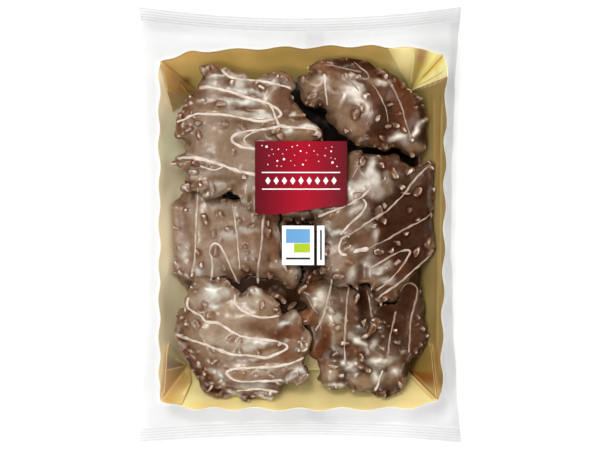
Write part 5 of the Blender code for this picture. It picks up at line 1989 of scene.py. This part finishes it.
    # painted shade on the film, carried by the ridge attribute: the crimped ends greyed, with stripes across them and
    # more at the head end and to the right, a grey line at their inner edge, and grey over the margins beyond the tray,
    # darkest down the right side
    pressed = (0.5 - 0.5 * np.cos(band * 2 * np.pi * RIDGES)) ** 2
    inner = np.exp(-(((band - 1.05) / 0.045) ** 2))
    x, y, z = points.T
    rim = np.concatenate([np.column_stack(at(*rim_side(side, 120)[:2])) for side in ("top", "right", "bottom", "left")])
    clear = smoothstep(0.5, -3.0, inside_distance(x, y, rim))
    margin_shade = clear * (0.32 - 0.06 * smoothstep(95, 104, y) - 0.08 * smoothstep(-85, -100, y))
    margin_shade = margin_shade * (1 - (1 - smoothstep(48, 78, np.abs(x))) * smoothstep(-92, -99, y))
    margin_shade = margin_shade + clear * 0.15 * smoothstep(-30, -80, x) * (1 - 0.55 * smoothstep(-60, -92, y))
    corner = clear * smoothstep(48, 82, x) * (0.26 * smoothstep(84, 98, y) + 0.22 * smoothstep(-90, -102, y))
    loose = np.maximum((0.86 - 0.20 * smoothstep(-66, -100, y)) * smoothstep(RIGHT - 2, RIGHT + 5, x), margin_shade + corner)
    set_attribute(film, "ridge", np.where(band < 1.01, 0.27 + 0.28 * (y > 0) + 0.50 * pressed + 0.25 * smoothstep(50, 86, x), 0.45 * inner) + loose * (band > 1.01))
    return film


def make_seam():
    """The pressed fin that closes the tube of film along its back, laid over to one side."""
    low, high = -LENGTH / 2 + CRIMP_DEEP, LENGTH / 2 - CRIMP_DEEP
    ys = np.linspace(low, high, 150)
    across = np.array([0.0, 0.5, 1.2, 2.2, 3.2, 4.2, 5.2, 6.2, 7.2, 8.2, 9.2, 10.4])
    hang = np.array([0.04, 0.10, 0.14, 0.15, 0.12, 0.15, 0.12, 0.15, 0.12, 0.15, 0.12, 0.14])
    rows = []
    for y in ys:
        under = smoothstep(low, FOOT + WALL_RUN, y) * (1 - smoothstep(HEAD - WALL_RUN, high, y))
        bow = HEAD_BOW * smoothstep(70, 108, y) - FOOT_BOW * smoothstep(70, 110, -y)
        x = 3.0 + across + 0.25 * math.sin(y / 31.0)
        z = CRIMP_Z - 0.12 + (0.3 - CRIMP_Z + 0.12) * under - hang
        upper = np.column_stack([x, np.full(len(x), y - bow * (1 - (x / 80) ** 2)), np.maximum(z, 0.12)])
        lower = upper - (0, 0, 0.07)
        rows.append(np.concatenate([upper, lower[::-1]]))
    n, m = len(rows), len(rows[0])
    faces = [
        (r * m + k, (r + 1) * m + k, (r + 1) * m + (k + 1) % m, r * m + (k + 1) % m)
        for r in range(n - 1)
        for k in range(m)
    ]
    faces.append(tuple(range(m)))
    faces.append(tuple(range((n - 1) * m, n * m))[::-1])
    seam = mesh_object("film_seam", np.concatenate(rows), faces, FILM)
    lines = np.tile(np.r_[np.arange(len(across)) % 2, (np.arange(len(across)) % 2)[::-1]], n)
    below = np.repeat(1 - smoothstep(66, 78, np.abs(ys)), m)
    set_attribute(seam, "ridge", (0.05 + 0.20 * lines) * below)
    set_attribute(seam, "seal", 0.7 * below)
    return seam


FILM_OBJECT = make_film()
SEAM = make_seam()


# ---------------------------------------------------------------------------
# Print on the film
# ---------------------------------------------------------------------------


def ink(name, stops, axis="x", span=(0, 1), rough=0.35):
    t = Tree(name)
    coords = t.nodes.new("ShaderNodeTexCoord")
    split = t.nodes.new("ShaderNodeSeparateXYZ")
    t.links.new(coords.outputs["Object"], split.inputs[0])
    where = t.spread(split.outputs[0 if axis == "x" else 1], span[0], span[1])
    where = t.math("ADD", where, t.math("MULTIPLY", t.math("SUBTRACT", t.noise(t.place(), 90, 2), 0.5), 0.05))
    base = t.ramp(where, *stops)
    shader = t.node(
        "BsdfPrincipled",
        Base_Color=base,
        Roughness=t.spread(t.noise(t.place(), 300, 2), 0.3, 0.7, rough - 0.05, rough + 0.08),
        Normal=t.bump(t.noise(t.place(), 500, 2), 0.1, 0.0002),
    )
    shader.inputs["Specular IOR Level"].default_value = 0.03
    return t.surface(shader)


def print_height(x, y):
    """The film's height, with its small dents bridged."""
    spread = [film_height(x + dx, y + dy) for dx in (-1, 0, 1) for dy in (-1, 0, 1)]
    return np.maximum(sum(spread) / 9, film_height(x, y))


def on_film(name, outline, material, lift, cuts=None):
    """A flat printed shape laid on the film. outline: (x_left, x_right, y_top(x), y_bottom(x))."""
    x0, x1, top, bottom = outline
    nx, ny = cuts or (80, 64)
    xs = np.linspace(x0, x1, nx)
    grid = []
    for v in np.linspace(0, 1, ny):
        row = []
        for x in xs:
            y = top(x) * (1 - v) + bottom(x) * v
            row.append(at(x, y))
        grid.append(row)
    grid = np.array(grid)
    z = print_height(grid[..., 0], grid[..., 1]) + lift
    points = np.dstack([grid, z]).reshape(-1, 3)
    faces = [
        (r * nx + c, (r + 1) * nx + c, (r + 1) * nx + c + 1, r * nx + c + 1)
        for r in range(ny - 1)
        for c in range(nx - 1)
    ]
    return mesh_object(name, points, faces, material)


def disc_on_film(parts, x, y, r, lift, sides=14, turn=0.0, squash=1.0):
    cx, cy = at(x, y)
    ring = [
        (cx + r * SCALE * math.cos(2 * math.pi * k / sides + turn), cy + r * SCALE * squash * math.sin(2 * math.pi * k / sides + turn))
        for k in range(sides)
    ]
    pts = np.array([(cx, cy)] + ring)
    z = print_height(pts[:, 0], pts[:, 1]) + lift
    z = np.full(len(z), z.max())
    base = len(parts[0])
    parts[0].extend(np.column_stack([pts, z]).tolist())
    parts[1].extend((base, base + 1 + k, base + 1 + (k + 1) % sides) for k in range(sides))


def make_print():
    red = ink(
        "red print",
        ((0.0, (0.098, 0.006, 0.012)), (0.5, (0.355, 0.006, 0.020)), (0.57, (0.345, 0.006, 0.020)), (1.0, (0.108, 0.006, 0.012))),
        span=(at(255, 0)[0] * MM, at(347, 0)[0] * MM),
    )
    white = ink("white print", ((0.0, (0.86, 0.86, 0.86)), (1.0, (0.90, 0.90, 0.90))), span=(-0.05, 0.05))
    blue = ink("blue print", ((0.0, (0.13, 0.32, 0.58)), (1.0, (0.16, 0.37, 0.63))), span=(-0.01, 0.01))
    lime = ink("lime print", ((0.0, (0.36, 0.50, 0.02)), (1.0, (0.42, 0.56, 0.03))), span=(-0.01, 0.01))
    dark = ink("dark print", ((0.0, (0.03, 0.03, 0.03)), (1.0, (0.04, 0.04, 0.04))), span=(-0.01, 0.01))
    made = []

    def lower(x):
        return np.interp(x, [255, 262, 270, 285, 300, 320, 335, 347], [213, 214.6, 215, 213.8, 211.2, 208, 206.3, 205.5])

    made.append(on_film("print_red", (255, 347, lambda x: 141.3, lower), red, 0.10))
    box = lambda a, b, c, d: (a, b, (lambda x: c), (lambda x: d))
    made.append(on_film("print_white_box", box(282, 314, 225.6, 265), white, 0.10, (24, 28)))
    made.append(on_film("print_white_strip", box(317, 324.5, 225.6, 265), white, 0.10, (8, 28)))
    made.append(on_film("print_blue_band", box(286, 310, 229, 243), blue, 0.16, (20, 12)))
    made.append(on_film("print_lime_square", box(294, 310, 243.5, 252.5), lime, 0.16, (14, 10)))
    parts = ([], [])
    made.append(on_film("print_dark_rule", box(286, 310, 257.5, 259.5), dark, 0.16, (20, 3)))
    made.append(on_film("print_dark_strip_rule", box(320, 321.8, 230, 260), dark, 0.16, (3, 20)))
    made.append(on_film("print_rule_upper", (262, 340, lambda x: 172.0, lambda x: 173.1), white, 0.16, (50, 3)))
    made.append(on_film("print_rule_lower", (262, 340, lambda x: 188.6, lambda x: 189.7), white, 0.16, (50, 3)))
    rng = np.random.RandomState(3)
    for k in range(9):
        disc_on_film(parts, 268 + k * 8.25, 180.8, 2.6, 0.16, sides=4, turn=math.pi / 2, squash=1.5)
    spots = []
    while len(spots) < 34:
        x, y = rng.uniform(262, 342), rng.uniform(145, 167)
        if all(math.hypot(x - a, y - b) > 4.4 for a, b, _ in spots):
            spots.append((x, y, rng.choice([0.45, 0.6, 0.9, 1.2], p=[0.4, 0.3, 0.2, 0.1])))
    for x, y, r in spots:
        disc_on_film(parts, x, y, r, 0.16)
    made.append(mesh_object("print_dots", parts[0], parts[1], white))
    return made


PRINT = make_print()


# ---------------------------------------------------------------------------
# Stage
# ---------------------------------------------------------------------------


def make_stage():
    bpy.ops.mesh.primitive_plane_add(size=6, location=(0, 0, 0))
    floor = bpy.context.object
    floor.name = "floor"
    t = Tree("floor")
    shader = t.node("BsdfPrincipled")
    shader.inputs["Base Color"].default_value = (0.93, 0.93, 0.93, 1)
    shader.inputs["Roughness"].default_value = 0.7
    floor.data.materials.append(t.surface(shader))

    world = bpy.data.worlds.new("studio")
    bpy.context.scene.world = world
    world.use_nodes = True
    nodes, links = world.node_tree.nodes, world.node_tree.links
    back = nodes["Background"]
    coords = nodes.new("ShaderNodeTexCoord")
    split = nodes.new("ShaderNodeSeparateXYZ")
    links.new(coords.outputs["Generated"], split.inputs[0])

    def feed(socket, value):
        if isinstance(value, bpy.types.NodeSocket):
            links.new(value, socket)
        else:
            socket.default_value = value

    def calc(operation, a, b=0.5):
        made = nodes.new("ShaderNodeMath")
        made.operation = operation
        feed(made.inputs[0], a)
        feed(made.inputs[1], b)
        return made.outputs[0]

    def step(value, low, high):
        made = nodes.new("ShaderNodeMapRange")
        made.interpolation_type = "SMOOTHSTEP"
        for k, v in enumerate((value, low, high, 0.0, 1.0)):
            feed(made.inputs[k], v)
        return made.outputs[0]

    x, y, z = split.outputs
    upward = calc("MAXIMUM", z, 0.02)
    u, v = calc("DIVIDE", x, upward), calc("DIVIDE", y, upward)

    def overhead(u0, v0, a, b, edge):
        """A soft light overhead, brightest in its middle, on the plane one metre up."""
        du, dv = calc("DIVIDE", calc("SUBTRACT", u, u0), a), calc("DIVIDE", calc("SUBTRACT", v, v0), b)
        far = calc("ADD", calc("MULTIPLY", du, du), calc("MULTIPLY", dv, dv))
        fall = calc("EXPONENT", calc("MULTIPLY", calc("POWER", far, edge), -1.0))
        return calc("MULTIPLY", fall, step(z, 0.02, 0.2))

    def glow(azimuth, height, inner, outer):
        """A round soft light low in the room. Azimuth 0 is +X and 90 is +Y."""
        a, h = math.radians(azimuth), math.radians(height)
        made = nodes.new("ShaderNodeVectorMath")
        made.operation = "DOT_PRODUCT"
        links.new(coords.outputs["Generated"], made.inputs[0])
        made.inputs[1].default_value = (math.cos(a) * math.cos(h), math.sin(a) * math.cos(h), math.sin(h))
        return step(made.outputs["Value"], math.cos(math.radians(outer)), math.cos(math.radians(inner)))

    ramp = nodes.new("ShaderNodeValToRGB")
    links.new(z, ramp.inputs[0])
    for place, value in AMBIENT[1:-1]:
        ramp.color_ramp.elements.new(place)
    for element, (place, value) in zip(ramp.color_ramp.elements, AMBIENT):
        element.position = place
        element.color = (value, value, value, 1)
    total = ramp.outputs[0]
    for mask, strength in (
        [(overhead(*w[:5]), w[5]) for w in OVERHEAD] + [(glow(*g[:4]), g[4]) for g in GLOWS]
    ):
        total = calc("ADD", total, calc("MULTIPLY", mask, strength))
    links.new(total, back.inputs["Color"])
    back.inputs["Strength"].default_value = 1.0


# brightness of the room by height, then lights overhead (place, half sizes, hardness,
# strength), then low soft lights (azimuth, height, inner and outer angle, strength)
AMBIENT = ((0.0, 0.46), (0.2, 0.24), (0.6, 0.12), (1.0, 0.12))
OVERHEAD = (
    (-0.45, 0.02, 0.50, 0.66, 2.5, 2.6),
    (-0.18, 0.38, 0.14, 0.14, 1.2, 25.0),
    (-0.42, -0.30, 0.11, 0.11, 1.2, 18.0),
    (0.55, 0.55, 0.30, 0.30, 1.3, 1.2),
    (0.42, 0.42, 0.08, 0.08, 1.2, 12.0),
)
GLOWS = (
    (5, 8, 12, 32, 4.2),
    (88, 8, 12, 26, 2.8),
    (265, 8, 10, 26, 3.0),
)

make_stage()

DISTANCE = 4.0
camera = bpy.data.objects.new("camera", bpy.data.cameras.new("camera"))
bpy.context.scene.collection.objects.link(camera)
camera.data.sensor_width = 36
camera.data.lens = 36 * (DISTANCE - 0.024) / (600 * SCALE * MM)
middle_x, middle_y = at(300, 225)
camera.location = (middle_x * MM, middle_y * MM, DISTANCE)
camera.data.clip_start, camera.data.clip_end = 0.1, 20
bpy.context.scene.camera = camera
bpy.context.scene.view_settings.view_transform = "Standard"

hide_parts("pack")
